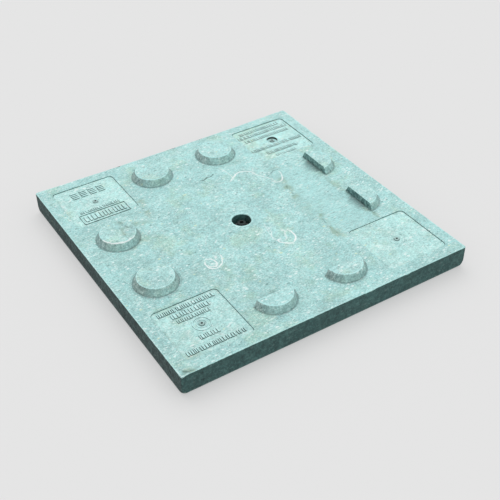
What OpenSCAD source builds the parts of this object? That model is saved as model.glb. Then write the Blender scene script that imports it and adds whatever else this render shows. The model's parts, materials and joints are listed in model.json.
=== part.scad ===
// Recycled-plastic cover plate for a manhole, lying with its stud side up.
// Origin: centre of the road face, at its lowest level. +Z points to the stud side.
// Millimetres.

/* [Slab] */
// Side of the square slab
cover_side = 800; // [780:5:860]
// Thickness of the slab without its studs
slab_t = 60; // [58:1:64]
// Rounding of the road-face edges
edge_r = 10; // [4:1:12]
// Rounding of the upright corners
corner_r = 4; // [2:1:8]

/* [Locating studs] */
// Diameter of a stud where it meets the slab
stud_base_d = 110; // [104:1:116]
// Diameter of a stud at its top
stud_top_d = 90; // [80:1:98]
// Height of a stud above the slab
stud_h = 20; // [14:1:26]
// Distance of a stud row from the middle of the slab
stud_row = 300; // [290:1:305]
// Distance of a stud from the middle of its row
stud_pair = 100; // [80:1:115]
// Diameter of the spigot that holds a stud in the slab
spigot_d = 60; // [50:1:70]

/* [Marking plates] */
// Side of a marking plate's pocket
pocket_side = 175; // [165:1:178]
// Distance of a pocket's middle from the middle of the slab, each way
pocket_pos = 280; // [278:1:290]
// Thickness of a marking plate
plate_t = 12; // [11:0.5:12]
// How far a marking plate lies below the slab's face
plate_sink = 2; // [1.5:0.1:3]
// Height of the raised marks
mark_h = 1.2; // [0.8:0.1:1.4]

/* [Lifting pin] */
// Diameter of the well on the stud side
well_d = 50; // [46:1:54]
// Diameter of the recess in the road face
recess_d = 70; // [64:1:76]
// Diameter of the lifting head
lift_head_d = 44; // [36:1:46]
// Diameter of the pin's shank
pin_d = 16; // [14:1:16]
// Depth of the pin's button head below the stud side of the slab
head_depth = 10; // [8:1:12]

/* [Reinforcement] */
// Diameter of a reinforcing bar
bar_d = 10; // [8:1:10]
// Length of a reinforcing bar
bar_len = 740; // [700:5:750]

/* [Hidden] */
$fn = 64;

plastic = [0.62, 0.77, 0.74];
plate_plastic = [0.60, 0.75, 0.72];
zinc = [0.62, 0.64, 0.64];
dark_steel = [0.33, 0.33, 0.34];
brass_col = [0.75, 0.60, 0.30];
rubber_col = [0.08, 0.08, 0.08];

half = cover_side / 2;
pocket_z = slab_t - plate_sink - plate_t;   // floor of a marking pocket and of a stud socket
plate_z = slab_t - plate_sink;              // face of a marking plate
pocket_r = 12.2;
gap = 0.1;                                  // glue gap round a stud's spigot
bar_rows = [-330, -240, -150, -60, 60, 150, 240, 330];
bar_low_z = 27.5;
bar_high_z = 38.5;

// centre hardware levels
recess_depth = 12;
web_top = 20;
spread_t = 2.5;
flange_t = 2.5;
flange_top = web_top + spread_t + flange_t;
head_k = 8.8;                               // M16 button head
head_top = slab_t - head_depth;
head_bottom = head_top - head_k;
stop_t = 3;

// M8 button-head screws of the marking plates
screw_head_d = 14;
screw_head_k = 4.4;
screw_len = 30;
insert_d = 12;
insert_bottom = 20;
screw_seat = slab_t - screw_head_k;         // underside of a screw head, flush at the slab's face
pit_drop = 3.6;                             // the back right screw sits this much deeper

// [middle x, middle y] of the studs
FULL = [[-stud_row, -stud_pair], [-stud_row, stud_pair], [-stud_pair, stud_row], [stud_pair, stud_row]];
// half studs: middle x, middle y, turn that brings the flat's outward side to +X
HALF = [[stud_row, stud_pair, 0], [stud_row, -stud_pair, 0], [stud_pair, -stud_row, -90], [-stud_pair, -stud_row, -90]];
CORNERS = [[-1, -1], [-1, 1], [1, 1], [1, -1]];

// ---------- shared shapes ----------
module round_square(s, r) {
  square([s - 2 * r, s], center = true);
  square([s, s - 2 * r], center = true);
  for (i = [-1, 1], j = [-1, 1]) translate([i * (s / 2 - r), j * (s / 2 - r)]) circle(r);
}

// side view of the slab, rounded at the road face only
module slab_profile() {
  translate([-half, edge_r]) square([cover_side, slab_t - edge_r]);
  translate([-half + edge_r, 0]) square([cover_side - 2 * edge_r, slab_t]);
  for (i = [-1, 1]) translate([i * (half - edge_r), edge_r]) circle(edge_r);
}

// stud body on the slab's face, with a 2 mm chamfer round its top
module stud_cone() {
  rotate_extrude() polygon([[0, 0], [stud_base_d / 2, 0],
    [stud_top_d / 2 + 1.0, stud_h - 2], [stud_top_d / 2 - 1.5, stud_h], [0, stud_h]]);
}

module full_stud(p) {
  translate([p[0], p[1], slab_t]) {
    stud_cone();
    translate([0, 0, -(slab_t - pocket_z) + 0.2]) cylinder(d = spigot_d, h = slab_t - pocket_z - 0.2);
  }
}

// the outer half of a stud, cut flat through its middle
module half_stud(p) {
  translate([p[0], p[1], slab_t]) rotate([0, 0, p[2]]) {
    intersection() {
      stud_cone();
      translate([0, -stud_base_d, -1]) cube([stud_base_d, 2 * stud_base_d, stud_h + 2]);
    }
    intersection() {
      translate([0, 0, -(slab_t - pocket_z) + 0.2]) cylinder(d = spigot_d, h = slab_t - pocket_z - 0.2);
      translate([2, -spigot_d, -slab_t]) cube([spigot_d, 2 * spigot_d, slab_t]);
    }
  }
}

module stud_socket(p) {
  translate([p[0], p[1], pocket_z]) cylinder(d = spigot_d + 2 * gap, h = slab_t);
}

module half_stud_socket(p) {
  translate([p[0], p[1], pocket_z]) rotate([0, 0, p[2]]) intersection() {
    cylinder(d = spigot_d + 2 * gap, h = slab_t);
    translate([2 - gap, -spigot_d, -1]) cube([spigot_d, 2 * spigot_d, slab_t + 2]);
  }
}

module hex(af, h) {
  cylinder(d = af / cos(30), h = h, $fn = 6);
}

// button-head screw, head underside at z = 0, shank down
module button_screw(d, head_d, k, len, af, sock) {
  difference() {
    union() {
      rotate_extrude() polygon([[0, 0], [head_d / 2, 0], [head_d / 2, k * 0.12],
        [head_d * 0.47, k * 0.42], [head_d * 0.40, k * 0.72], [head_d * 0.31, k * 0.93],
        [head_d * 0.24, k], [0, k]]);
      translate([0, 0, -len]) cylinder(d = d, h = len + 0.01);
    }
    translate([0, 0, k - sock]) hex(af, sock + 1);
  }
}

// one line of raised marks, replaced by a plain bar
module mark_row(y, w, h) {
  translate([-w / 2, y - h / 2, -0.5]) cube([w, h, mark_h + 0.5]);
}

// marking plate blank with its screw hole, face at z = 0
module plate_blank(bore_d, bore_depth) {
  difference() {
    translate([0, 0, -plate_t]) linear_extrude(plate_t) round_square(pocket_side - 0.4, pocket_r - 0.2);
    translate([0, 0, -plate_t - 1]) cylinder(d = 9, h = plate_t + 2);
    translate([0, 0, -bore_depth]) cylinder(d = bore_d, h = bore_depth + 1);
  }
}

module boss_ring(h) {
  translate([0, 0, -0.5]) difference() {
    cylinder(r = 21, h = h + 0.5);
    translate([0, 0, -1]) cylinder(r = 19, h = h + 3);
  }
}

// depth of the counterbore that seats a screw head
seat_depth = plate_z - screw_seat;

// ---------- parts ----------
module slab() {
  color(plastic) difference() {
    intersection() {
      linear_extrude(slab_t) round_square(cover_side, corner_r);
      rotate([90, 0, 0]) translate([0, 0, -half - 1]) linear_extrude(cover_side + 2) slab_profile();
      rotate([0, 0, 90]) rotate([90, 0, 0]) translate([0, 0, -half - 1]) linear_extrude(cover_side + 2) slab_profile();
    }
    for (p = FULL) stud_socket(p);
    for (p = HALF) half_stud_socket(p);
    for (c = CORNERS) translate([c[0] * pocket_pos, c[1] * pocket_pos, 0]) {
      translate([0, 0, pocket_z]) linear_extrude(slab_t) round_square(pocket_side, pocket_r);
      translate([0, 0, insert_bottom]) cylinder(d = insert_d, h = slab_t);
    }
    // lifting pin: road recess, web bore, well and the well's chamfer
    translate([0, 0, -1]) cylinder(d = recess_d, h = recess_depth + 1);
    cylinder(d = 26, h = slab_t);
    translate([0, 0, web_top]) cylinder(d = well_d, h = slab_t);
    translate([0, 0, slab_t - 1.5]) cylinder(d1 = well_d, d2 = well_d + 4, h = 2);
  }
}

module full_stud_left_front() { color(plastic) full_stud(FULL[0]); }
module full_stud_left_back() { color(plastic) full_stud(FULL[1]); }
module full_stud_back_left() { color(plastic) full_stud(FULL[2]); }
module full_stud_back_right() { color(plastic) full_stud(FULL[3]); }
module half_stud_right_back() { color(plastic) half_stud(HALF[0]); }
module half_stud_right_front() { color(plastic) half_stud(HALF[1]); }
module half_stud_front_right() { color(plastic) half_stud(HALF[2]); }
module half_stud_front_left() { color(plastic) half_stud(HALF[3]); }

module marking_plate_front_left() {
  color(plate_plastic) translate([-pocket_pos, -pocket_pos, plate_z]) {
    plate_blank(18, seat_depth);
    boss_ring(mark_h);
    mark_row(72, 148, 13);
    mark_row(52, 97, 15);
    mark_row(33, 87, 11);
    mark_row(-37, 52, 14);
    mark_row(-68, 152, 13);
  }
}

module marking_plate_back_left() {
  color(plate_plastic) translate([-pocket_pos, pocket_pos, plate_z]) {
    plate_blank(18, seat_depth);
    for (i = [0:3]) translate([-37.5 + i * 25, 50, -0.5]) translate([-9, -15, 0]) cube([18, 30, mark_h + 0.5]);
    mark_row(-30, 112, 10);
    translate([0, -61, -0.5]) linear_extrude(mark_h + 0.5) difference() {
      square([128, 40], center = true);
      square([124, 36], center = true);
    }
    mark_row(-61, 112, 22);
  }
}

module marking_plate_back_right() {
  color(plate_plastic) translate([pocket_pos, pocket_pos, plate_z]) {
    plate_blank(30, 6);
    mark_row(70, 136, 12);
    mark_row(50, 166, 13);
    mark_row(28, 146, 12);
    mark_row(-26, 168, 12);
    mark_row(-54, 103, 13);
    mark_row(-76, 69, 9);
  }
}

module marking_plate_front_right() {
  color(plate_plastic) translate([pocket_pos, -pocket_pos, plate_z]) plate_blank(18, seat_depth);
}

module plate_screws() {
  color(zinc) for (c = CORNERS)
    translate([c[0] * pocket_pos, c[1] * pocket_pos, screw_seat - (c == [1, 1] ? pit_drop : 0)])
      button_screw(7.9, screw_head_d, screw_head_k, screw_len, 5, 2.6);
}

module screw_inserts() {
  color(brass_col) for (c = CORNERS)
    translate([c[0] * pocket_pos, c[1] * pocket_pos, insert_bottom]) difference() {
      cylinder(d = insert_d, h = pocket_z - insert_bottom);
      translate([0, 0, -1]) cylinder(d = 8, h = slab_t);
    }
}

// the bars are moulded into the slab, whose plastic closes round them
module reinforcing_bars_lower() {
  color(dark_steel) for (y = bar_rows)
    translate([-bar_len / 2, y, bar_low_z]) rotate([0, 90, 0]) cylinder(d = bar_d, h = bar_len);
}

module reinforcing_bars_upper() {
  color(dark_steel) for (x = bar_rows)
    translate([x, -bar_len / 2, bar_high_z]) rotate([-90, 0, 0]) cylinder(d = bar_d, h = bar_len);
}

module spreader_washer() {
  color(zinc) translate([0, 0, web_top]) difference() {
    cylinder(d = well_d - 0.6, h = spread_t);
    translate([0, 0, -1]) cylinder(d = 26.4, h = spread_t + 2);
  }
}

module guide_bush() {
  color(zinc) difference() {
    union() {
      translate([0, 0, recess_depth]) cylinder(d = 25.9, h = flange_top - recess_depth);
      translate([0, 0, web_top + spread_t]) cylinder(d = 40, h = flange_t);
    }
    translate([0, 0, recess_depth - 1]) cylinder(d = pin_d + 0.1, h = slab_t);
    translate([0, 0, flange_top - 2]) cylinder(d = 22, h = 3);
  }
}

module wiper_seal() {
  color(rubber_col) translate([0, 0, flange_top - 2]) difference() {
    cylinder(d = 22, h = 2);
    translate([0, 0, -1]) cylinder(d = pin_d + 0.6, h = 4);
  }
}

module lifting_screw() {
  color(dark_steel) difference() {
    translate([0, 0, head_bottom]) button_screw(pin_d, 28, head_k, head_bottom - 2, 10, 5.2);
    translate([-20, 0, 5.5]) rotate([0, 90, 0]) cylinder(d = 5, h = 40);
  }
}

module stop_washer() {
  color(zinc) translate([0, 0, head_bottom - stop_t]) difference() {
    cylinder(d = 30, h = stop_t);
    translate([0, 0, -1]) cylinder(d = pin_d + 1, h = stop_t + 2);
  }
}

module lifting_head() {
  color(dark_steel) difference() {
    translate([0, 0, 1]) rotate_extrude() polygon([[0, 0], [lift_head_d / 2 - 5, 0], [lift_head_d / 2 - 1.5, 1.2],
      [lift_head_d / 2, 3], [lift_head_d / 2, 5], [lift_head_d / 2 - 1, 6], [15, 9.5], [0, 9.5]]);
    translate([0, 0, -1]) cylinder(d = pin_d, h = 20);
    translate([-30, 0, 5.5]) rotate([0, 90, 0]) cylinder(d = 5, h = 60);
  }
}

module head_pin() {
  color(zinc) translate([-(lift_head_d / 2 - 2), 0, 5.5]) rotate([0, 90, 0]) cylinder(d = 4.9, h = lift_head_d - 4);
}

slab();
full_stud_left_front();
full_stud_left_back();
full_stud_back_left();
full_stud_back_right();
half_stud_right_back();
half_stud_right_front();
half_stud_front_right();
half_stud_front_left();
marking_plate_front_left();
marking_plate_back_left();
marking_plate_back_right();
marking_plate_front_right();
plate_screws();
screw_inserts();
reinforcing_bars_lower();
reinforcing_bars_upper();
spreader_washer();
guide_bush();
wiper_seal();
lifting_screw();
stop_washer();
lifting_head();
head_pin();
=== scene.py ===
import json, math
import bpy
import numpy as np
from mathutils import Vector, Matrix
from mathutils.geometry import delaunay_2d_cdt

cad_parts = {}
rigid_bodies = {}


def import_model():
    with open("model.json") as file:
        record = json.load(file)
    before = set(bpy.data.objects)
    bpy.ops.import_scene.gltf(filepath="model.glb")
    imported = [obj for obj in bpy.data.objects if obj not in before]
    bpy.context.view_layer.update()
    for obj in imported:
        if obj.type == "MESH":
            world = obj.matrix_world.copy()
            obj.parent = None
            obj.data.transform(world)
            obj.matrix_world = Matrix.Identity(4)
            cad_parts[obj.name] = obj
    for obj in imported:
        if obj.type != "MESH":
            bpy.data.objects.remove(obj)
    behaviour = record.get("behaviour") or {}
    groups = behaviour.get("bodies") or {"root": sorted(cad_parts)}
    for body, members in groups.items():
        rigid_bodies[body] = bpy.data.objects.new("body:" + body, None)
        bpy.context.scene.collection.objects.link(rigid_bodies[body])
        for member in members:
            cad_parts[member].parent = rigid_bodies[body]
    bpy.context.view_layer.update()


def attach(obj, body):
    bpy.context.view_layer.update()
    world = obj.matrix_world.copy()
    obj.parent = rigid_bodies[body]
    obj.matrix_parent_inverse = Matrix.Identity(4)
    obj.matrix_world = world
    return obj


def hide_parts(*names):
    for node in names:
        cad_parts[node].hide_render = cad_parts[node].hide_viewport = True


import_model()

# ------------------------------------------------------------------ sizes (mm)
HALF = 400.0
T = 60.0
EDGE_R = 10.0
CORNER_R = 4.0
PLATE_Z = 58.0
POCKET_Z = 46.0
STUD_H = 20.0
CORN = [(-1, -1), (-1, 1), (1, 1), (1, -1)]
PP = 280.0
FULL = {"full_stud_left_front": (-300, -100), "full_stud_left_back": (-300, 100),
        "full_stud_back_left": (-100, 300), "full_stud_back_right": (100, 300)}
HALFS = {"half_stud_right_back": (300, 100, 0), "half_stud_right_front": (300, -100, 0),
         "half_stud_front_right": (100, -300, -90), "half_stud_front_left": (-100, -300, -90)}


# ------------------------------------------------------------------ noise
def _lat(seed):
    return np.random.default_rng(seed).random((128, 128)) * 2 - 1


_LATS = {}


def vn(x, y, cell, seed):
    """Smooth value noise in -1..1 with features of about cell mm."""
    if seed not in _LATS:
        _LATS[seed] = _lat(seed)
    g = _LATS[seed]
    u, v = np.asarray(x, float) / cell + 31.7, np.asarray(y, float) / cell + 17.3
    iu, iv = np.floor(u).astype(int), np.floor(v).astype(int)
    fu, fv = u - iu, v - iv
    fu, fv = fu * fu * fu * (fu * (fu * 6 - 15) + 10), fv * fv * fv * (fv * (fv * 6 - 15) + 10)
    a, b = g[iu % 128, iv % 128], g[(iu + 1) % 128, iv % 128]
    c, d = g[iu % 128, (iv + 1) % 128], g[(iu + 1) % 128, (iv + 1) % 128]
    return (a * (1 - fu) + b * fu) * (1 - fv) + (c * (1 - fu) + d * fu) * fv


def fbm(x, y, cell, seed, n=3):
    s, a = 0, 1.0
    for i in range(n):
        s = s + a * vn(x, y, cell / 2 ** i, seed + i)
        a *= 0.5
    return s / (2 - 0.5 ** (n - 1))


def sst(e0, e1, x):
    t = np.clip((x - e0) / (e1 - e0), 0, 1)
    return t * t * (3 - 2 * t)


# ------------------------------------------------------------------ mesh helpers
class Build:
    """Collects vertices (mm) and faces, with point attributes, into one mesh."""

    def __init__(self):
        self.v, self.q, self.t, self.n = [], [], [], []
        self.count = 0
        self.attr = {}

    def add(self, verts, quads=None, tris=None, ngons=None, **attr):
        verts = np.asarray(verts, float).reshape(-1, 3)
        base = self.count
        self.v.append(verts)
        self.count += len(verts)
        if quads is not None and len(quads):
            self.q.append(np.asarray(quads, int).reshape(-1, 4) + base)
        if tris is not None and len(tris):
            self.t.append(np.asarray(tris, int).reshape(-1, 3) + base)
        for f in ngons or []:
            self.n.append([int(i) + base for i in f])
        for k, a in attr.items():
            self.attr.setdefault(k, []).append((base, np.broadcast_to(np.asarray(a, float), (len(verts),)).copy()))
        return base

    def rings(self, rings, closed=True, flip=False, **attr):
        """Quads between rings of points; rings is (k, n, 3). Outward for counter-clockwise rings going up."""
        R = np.asarray(rings, float)
        k, n = R.shape[0], R.shape[1]
        idx = np.arange(k * n).reshape(k, n)
        m = n if closed else n - 1
        j = np.arange(m)
        jn = (j + 1) % n
        Q = []
        for i in range(k - 1):
            a, b, c, d = idx[i, j], idx[i, jn], idx[i + 1, jn], idx[i + 1, j]
            Q.append(np.stack([a, b, c, d] if not flip else [a, d, c, b], 1))
        flat = {kk: (np.asarray(a).reshape(-1) if np.ndim(a) else a) for kk, a in attr.items()}
        return self.add(R.reshape(-1, 3), quads=np.concatenate(Q), **flat)

    def obj(self, name, mat, weld=0.002, angle=35.0):
        V = np.concatenate(self.v)
        me = bpy.data.meshes.new(name)
        quads = np.concatenate(self.q) if self.q else np.zeros((0, 4), int)
        tris = np.concatenate(self.t) if self.t else np.zeros((0, 3), int)
        ng = self.n
        loops = np.concatenate([quads.ravel(), tris.ravel()] + [np.array(f) for f in ng]).astype(np.int32)
        totals = np.concatenate([np.full(len(quads), 4), np.full(len(tris), 3), np.array([len(f) for f in ng], int)]).astype(np.int32)
        starts = np.concatenate([[0], np.cumsum(totals)[:-1]]).astype(np.int32)
        me.vertices.add(len(V))
        me.vertices.foreach_set("co", (V * 0.001).astype(np.float32).ravel())
        me.loops.add(len(loops))
        me.loops.foreach_set("vertex_index", loops)
        me.polygons.add(len(totals))
        me.polygons.foreach_set("loop_start", starts)
        me.update(calc_edges=True)
        for k, parts in self.attr.items():
            a = np.zeros(len(V), np.float32)
            for base, vals in parts:
                a[base:base + len(vals)] = vals
            at = me.attributes.new(k, "FLOAT", "POINT")
            at.data.foreach_set("value", a)
        if weld:
            import bmesh
            bm = bmesh.new()
            bm.from_mesh(me)
            bmesh.ops.remove_doubles(bm, verts=bm.verts, dist=weld * 0.001)
            bmesh.ops.dissolve_degenerate(bm, edges=bm.edges, dist=1e-7)
            bm.to_mesh(me)
            bm.free()
        me.validate()
        me.shade_smooth()
        me.set_sharp_from_angle(angle=math.radians(angle))
        ob = bpy.data.objects.new(name, me)
        bpy.context.scene.collection.objects.link(ob)
        ob.data.materials.append(mat)
        return ob


def circle(r, n, cx=0.0, cy=0.0, start=0.0):
    t = start + np.linspace(0, 2 * math.pi, n, endpoint=False)
    return np.stack([cx + r * np.cos(t), cy + r * np.sin(t)], 1)


def rsq(a, r, step, corner_n=8):
    """Counter-clockwise rounded square, half side a, corner radius r: points and outward normals."""
    P, N = [], []
    m = max(2, int(round(2 * (a - r) / step)))
    for k in range(4):
        c, s = math.cos(k * math.pi / 2), math.sin(k * math.pi / 2)
        y = np.linspace(-(a - r), a - r, m + 1)
        pts = np.stack([np.full(m + 1, a), y], 1)
        nor = np.tile([1.0, 0.0], (m + 1, 1))
        t = np.linspace(0, math.pi / 2, corner_n + 2)[1:-1]
        pts = np.concatenate([pts, np.stack([a - r + r * np.cos(t), a - r + r * np.sin(t)], 1)])
        nor = np.concatenate([nor, np.stack([np.cos(t), np.sin(t)], 1)])
        R = np.array([[c, -s], [s, c]])
        P.append(pts @ R.T)
        N.append(nor @ R.T)
    return np.concatenate(P), np.concatenate(N)


def fill(outer, holes, inner, up=True):
    """Delaunay fill of a region: outer and hole loops (n, 2) are kept as edges, inner are free points."""
    loops = [outer] + list(holes)
    pts, edges, base = [], [], 0
    for L in loops:
        n = len(L)
        pts.append(L)
        edges += [(base + i, base + (i + 1) % n) for i in range(n)]
        base += n
    if len(inner):
        pts.append(inner)
    P = np.concatenate(pts)
    res = delaunay_2d_cdt([Vector((float(a), float(b))) for a, b in P], edges, [], 0, 1e-6)
    V = np.array([(v.x, v.y) for v in res[0]])
    F = np.array([f for f in res[2]], int)
    C = V[F].mean(1)
    keep = inside(C, outer)
    for h in holes:
        keep &= ~inside(C, h)
    F = F[keep]
    a = V[F[:, 1]] - V[F[:, 0]]
    b = V[F[:, 2]] - V[F[:, 0]]
    cr = a[:, 0] * b[:, 1] - a[:, 1] * b[:, 0]
    F = F[np.abs(cr) > 1e-9]
    cr = cr[np.abs(cr) > 1e-9]
    bad = (cr < 0) if up else (cr > 0)
    F[bad] = F[bad][:, ::-1]
    return V, F


def inside(P, loop):
    """Points inside a closed loop, by winding crossings, limited to the loop's box."""
    res = np.zeros(len(P), bool)
    lo, hi = loop.min(0), loop.max(0)
    m = np.all((P >= lo) & (P <= hi), 1)
    Q = P[m]
    r = np.zeros(len(Q), bool)
    n = len(loop)
    A, B = loop, np.roll(loop, -1, 0)
    for (x0, y0), (x1, y1) in zip(A, B):
        if y0 == y1:
            continue
        c = ((Q[:, 1] >= min(y0, y1)) & (Q[:, 1] < max(y0, y1)))
        x = x0 + (Q[:, 1] - y0) * (x1 - x0) / (y1 - y0)
        r ^= c & (Q[:, 0] < x)
    res[m] = r
    return res


def seg_dist(P, poly):
    """Distance of points to a polyline, and the place along it (0..1)."""
    poly = np.asarray(poly, float)
    best = np.full(len(P), 1e9)
    where = np.zeros(len(P))
    L = np.concatenate([[0], np.cumsum(np.linalg.norm(np.diff(poly, axis=0), axis=1))])
    for i in range(len(poly) - 1):
        a, b = poly[i], poly[i + 1]
        d = b - a
        l2 = max(1e-9, (d ** 2).sum())
        t = np.clip(((P - a) @ d) / l2, 0, 1)
        q = np.linalg.norm(P - (a + t[:, None] * d), axis=1)
        m = q < best
        best[m] = q[m]
        where[m] = (L[i] + t[m] * math.sqrt(l2)) / L[-1]
    return best, where


def smooth_line(pts, n=8):
    """Catmull-Rom through given points."""
    P = np.asarray(pts, float)
    P = np.concatenate([[2 * P[0] - P[1]], P, [2 * P[-1] - P[-2]]])
    out = []
    for i in range(1, len(P) - 2):
        for t in np.linspace(0, 1, n, endpoint=False):
            a, b, c, d = P[i - 1], P[i], P[i + 1], P[i + 2]
            out.append(0.5 * ((2 * b) + (c - a) * t + (2 * a - 5 * b + 4 * c - d) * t * t + (3 * b - a - 3 * c + d) * t ** 3))
    out.append(P[-2])
    return np.array(out)


# ------------------------------------------------------------------ marks on the stud side, in mm
# white scuff lines, and one painted rim highlight on the left-back stud: points, half width, strength
SCUFFS_AND_RIM_HIGHLIGHT = [
    ([(-398, -378), (-398.5, -390), (-396, -398), (-384, -399)], 1.2, 0.6),
    ([(-399, -330), (-399, -250), (-399, -190)], 1.0, 0.5),
    ([(-399, -100), (-399, 20), (-399, 90)], 0.9, 0.4),
    ([(96, 232), (110, 226), (126, 222)], 1.2, 0.35),
    ([(-165, -99), (-170, -108), (-168, -122), (-163, -130), (-152, -134), (-139, -129), (-129, -117), (-122, -103), (-119, -90)], 1.7, 1.0),
    ([(-156, -92), (-147, -97), (-143, -109), (-144, -121), (-152, -126), (-162, -121), (-167, -113)], 1.6, 0.95),
    ([(-133, -93), (-137, -99), (-131, -97)], 2.0, 0.7),
    ([(-126, -38), (-123, -26), (-113, -18)], 1.2, 0.45),
    ([(-97, -36), (-104, -45)], 1.6, 0.6),
    ([(74, -97), (77, -111), (76, -129), (69, -143), (54, -152), (40, -144), (30, -133), (31, -123), (40, -121)], 1.8, 1.0),
    ([(40, -44), (33, -68), (28, -86), (26, -104), (30, -116)], 1.0, 0.55),
    ([(68, -98), (60, -110), (53, -120)], 1.2, 0.6),
    ([(66, -90), (60, -96), (70, -100)], 2.6, 0.55),
    ([(160, 102), (164, 94), (174, 88), (186, 91), (196, 102), (202, 120), (205, 132)], 1.7, 0.85),
    ([(72, 236), (80, 210), (81, 180), (77, 156)], 1.2, 0.55),
    ([(66, 162), (80, 174), (95, 182), (109, 186), (126, 180), (139, 168)], 1.9, 0.9),
    # painted highlight along the left-back stud's near rim
    ([(-343.7, 90.7), (-340.5, 81.1), (-335.2, 72.5), (-328.1, 65.3), (-319.6, 59.8), (-310.1, 56.4), (-300.0, 55.3), (-289.9, 56.4), (-280.4, 59.8), (-271.9, 65.3)], 1.7, 0.95),
    ([(139, 170), (143, 150), (152, 134), (162, 120), (168, 100)], 1.4, 0.7),
    ([(140, 186), (138, 168), (136, 150)], 1.0, 0.5),
    ([(12, 200), (12, 186), (18, 178), (33, 171), (50, 166)], 1.2, 0.45),
    ([(40, -62), (35, -84), (24, -108), (28, -124), (42, -132), (56, -128)], 1.1, 0.6),
    ([(72, -102), (62, -108), (56, -122), (44, -134)], 1.1, 0.6),
    ([(-60, 30), (-30, 52), (0, 60), (34, 52)], 0.7, 0.25),
    ([(120, -60), (128, -20), (122, 20)], 0.7, 0.25),
    ([(-20, -70), (20, -76), (56, -62)], 0.7, 0.28),
    ([(152, 186), (143, 171)], 1.3, 0.6),
    ([(160, 366), (159, 358), (166, 352), (174, 356), (175, 364), (168, 368), (160, 366)], 1.2, 0.45),
    ([(120, 170), (134, 160), (146, 166)], 1.5, 0.35),
]
# dark scratches and cracks: points, half width, strength
DARKS = [
    ([(-281, 152), (-279, 138), (-275, 122), (-271, 104)], 1.3, 0.6),
    ([(181, 62), (177, 40), (174, 22)], 1.8, 0.5),
    ([(176, -104), (172, -130), (169, -152)], 1.5, 0.4),
    ([(-262, 66), (-256, 60), (-250, 64)], 1.4, 0.7),
    ([(-392, -380), (-384, -392), (-366, -396)], 1.6, 0.7),
    ([(2, 208), (12, 206), (22, 214), (32, 212), (42, 217)], 1.8, 0.9),
    ([(167, 129), (178, 134), (192, 141), (204, 140)], 1.5, 0.7),
    ([(-280, 155), (-282, 138), (-279, 120)], 0.9, 0.35),
    ([(-290, 82), (-291, 72), (-288, 62)], 1.4, 0.6),
    ([(-157, 414), (-153, 396)], 2.0, 0.6),
]
# rim of the shallow worn zone by the right-hand half studs
ZONE = [(166, 132), (178, 146), (200, 155), (226, 154), (252, 144), (274, 122), (288, 84), (293, 30), (296, -40), (298, -110), (303, -180),
        (250, -196), (204, -200), (178, -190), (172, -150), (176, -110), (174, -60), (172, 0), (176, 50), (172, 90)]
DIRT = [
    ([(186, 96), (183, 76), (178, 40), (173, 6)], 11.0, 1.25),
    ([(173, 6), (170, -20), (172, -52), (180, -86)], 8.0, 0.4),
    ([(182, -78), (176, -108), (172, -134), (169, -158), (170, -186)], 12.0, 1.25),
    ([(182, 100), (174, 60), (168, 10), (168, -60), (172, -150)], 17.0, 0.5),
    ([(290, 130), (296, 90), (293, 40), (296, -10), (297, -50), (292, -110), (296, -150), (302, -184)], 6.0, 1.1),
    ([(182, 146), (200, 148), (222, 144), (246, 130)], 4.0, 0.6),
    ([(-183, 211), (-186, 160), (-206, 127), (-240, 133)], 9.0, 1.25),
    ([(-277, 135), (-284, 109), (-290, 84)], 5.0, 1.3),
    ([(-298, 40), (-267, 57)], 9.0, 1.1),
    ([(-286, 150), (-278, 128), (-274, 108)], 9.0, 0.9),
    ([(-262, 70), (-246, 62), (-240, 84)], 10.0, 0.55),
    ([(-272, -160), (-266, -176)], 10.0, 0.4),
    ([(-392, -372), (-388, -390), (-368, -394)], 11.0, 1.2),
    ([(-190, -120), (-186, -190), (-200, -230)], 22.0, 0.25),
    ([(20, -230), (60, -250), (90, -262)], 22.0, 0.3),
    ([(110, 238), (150, 246)], 16.0, 0.3),
]


def top_marks(P):
    """Scuff (with one painted rim highlight), dark and dirt strengths for points on the stud side."""
    x, y = P[:, 0], P[:, 1]
    sc, dk, dt = np.zeros(len(P)), np.zeros(len(P)), np.zeros(len(P))
    wob = np.stack([vn(x, y, 9, 71), vn(x, y, 9, 72)], 1) * 1.3
    for pts, w, s in SCUFFS_AND_RIM_HIGHLIGHT:
        L = smooth_line(pts)
        near = np.all((P > L.min(0) - 15) & (P < L.max(0) + 15), 1)
        if near.any():
            Q = P[near] + wob[near]
            d, t = seg_dist(Q, L)
            ww = 1.3 * w * (0.85 + 0.4 * vn(Q[:, 0], Q[:, 1], 8, 73)) * (0.65 + 0.45 * np.sin(np.clip(t, 0.02, 0.98) * math.pi))
            a = s * (1 - sst(ww * 0.6, ww * 1.3, d)) * (0.92 + 0.2 * vn(Q[:, 0], Q[:, 1], 3, 74))
            sc[near] = np.maximum(sc[near], a)
    for pts, w, s in DARKS:
        L = smooth_line(pts)
        near = np.all((P > L.min(0) - 15) & (P < L.max(0) + 15), 1)
        if near.any():
            Q = P[near] + wob[near] * 1.5
            d, t = seg_dist(Q, L)
            a = s * (1 - sst(w * 0.4, w * 1.6, d)) * sst(-0.9, 0.3, vn(Q[:, 0], Q[:, 1], 6, 75))
            dk[near] = np.maximum(dk[near], a)
    for pts, w, s in DIRT:
        L = smooth_line(pts)
        near = np.all((P > L.min(0) - 40) & (P < L.max(0) + 40), 1)
        if near.any():
            Q = P[near] + wob[near] * 3
            d, t = seg_dist(Q, L)
            a = s * np.exp(-(d / w) ** 2) * np.clip(0.5 + 1.1 * fbm(Q[:, 0], Q[:, 1], 15, 81), 0.05, 1.2)
            dt[near] = np.maximum(dt[near], a)
    return np.clip(sc, 0, 1), np.clip(dk, 0, 1), np.clip(dt, 0, 1)


def zone_depth(P):
    """0 outside, 1 well inside the worn zone."""
    loop = np.array(ZONE, float)
    d, _ = seg_dist(P, np.vstack([loop, loop[:1]]))
    ins = inside(P, loop)
    return np.where(ins, sst(-7, 15, d), sst(-7, 15, -d))


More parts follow.
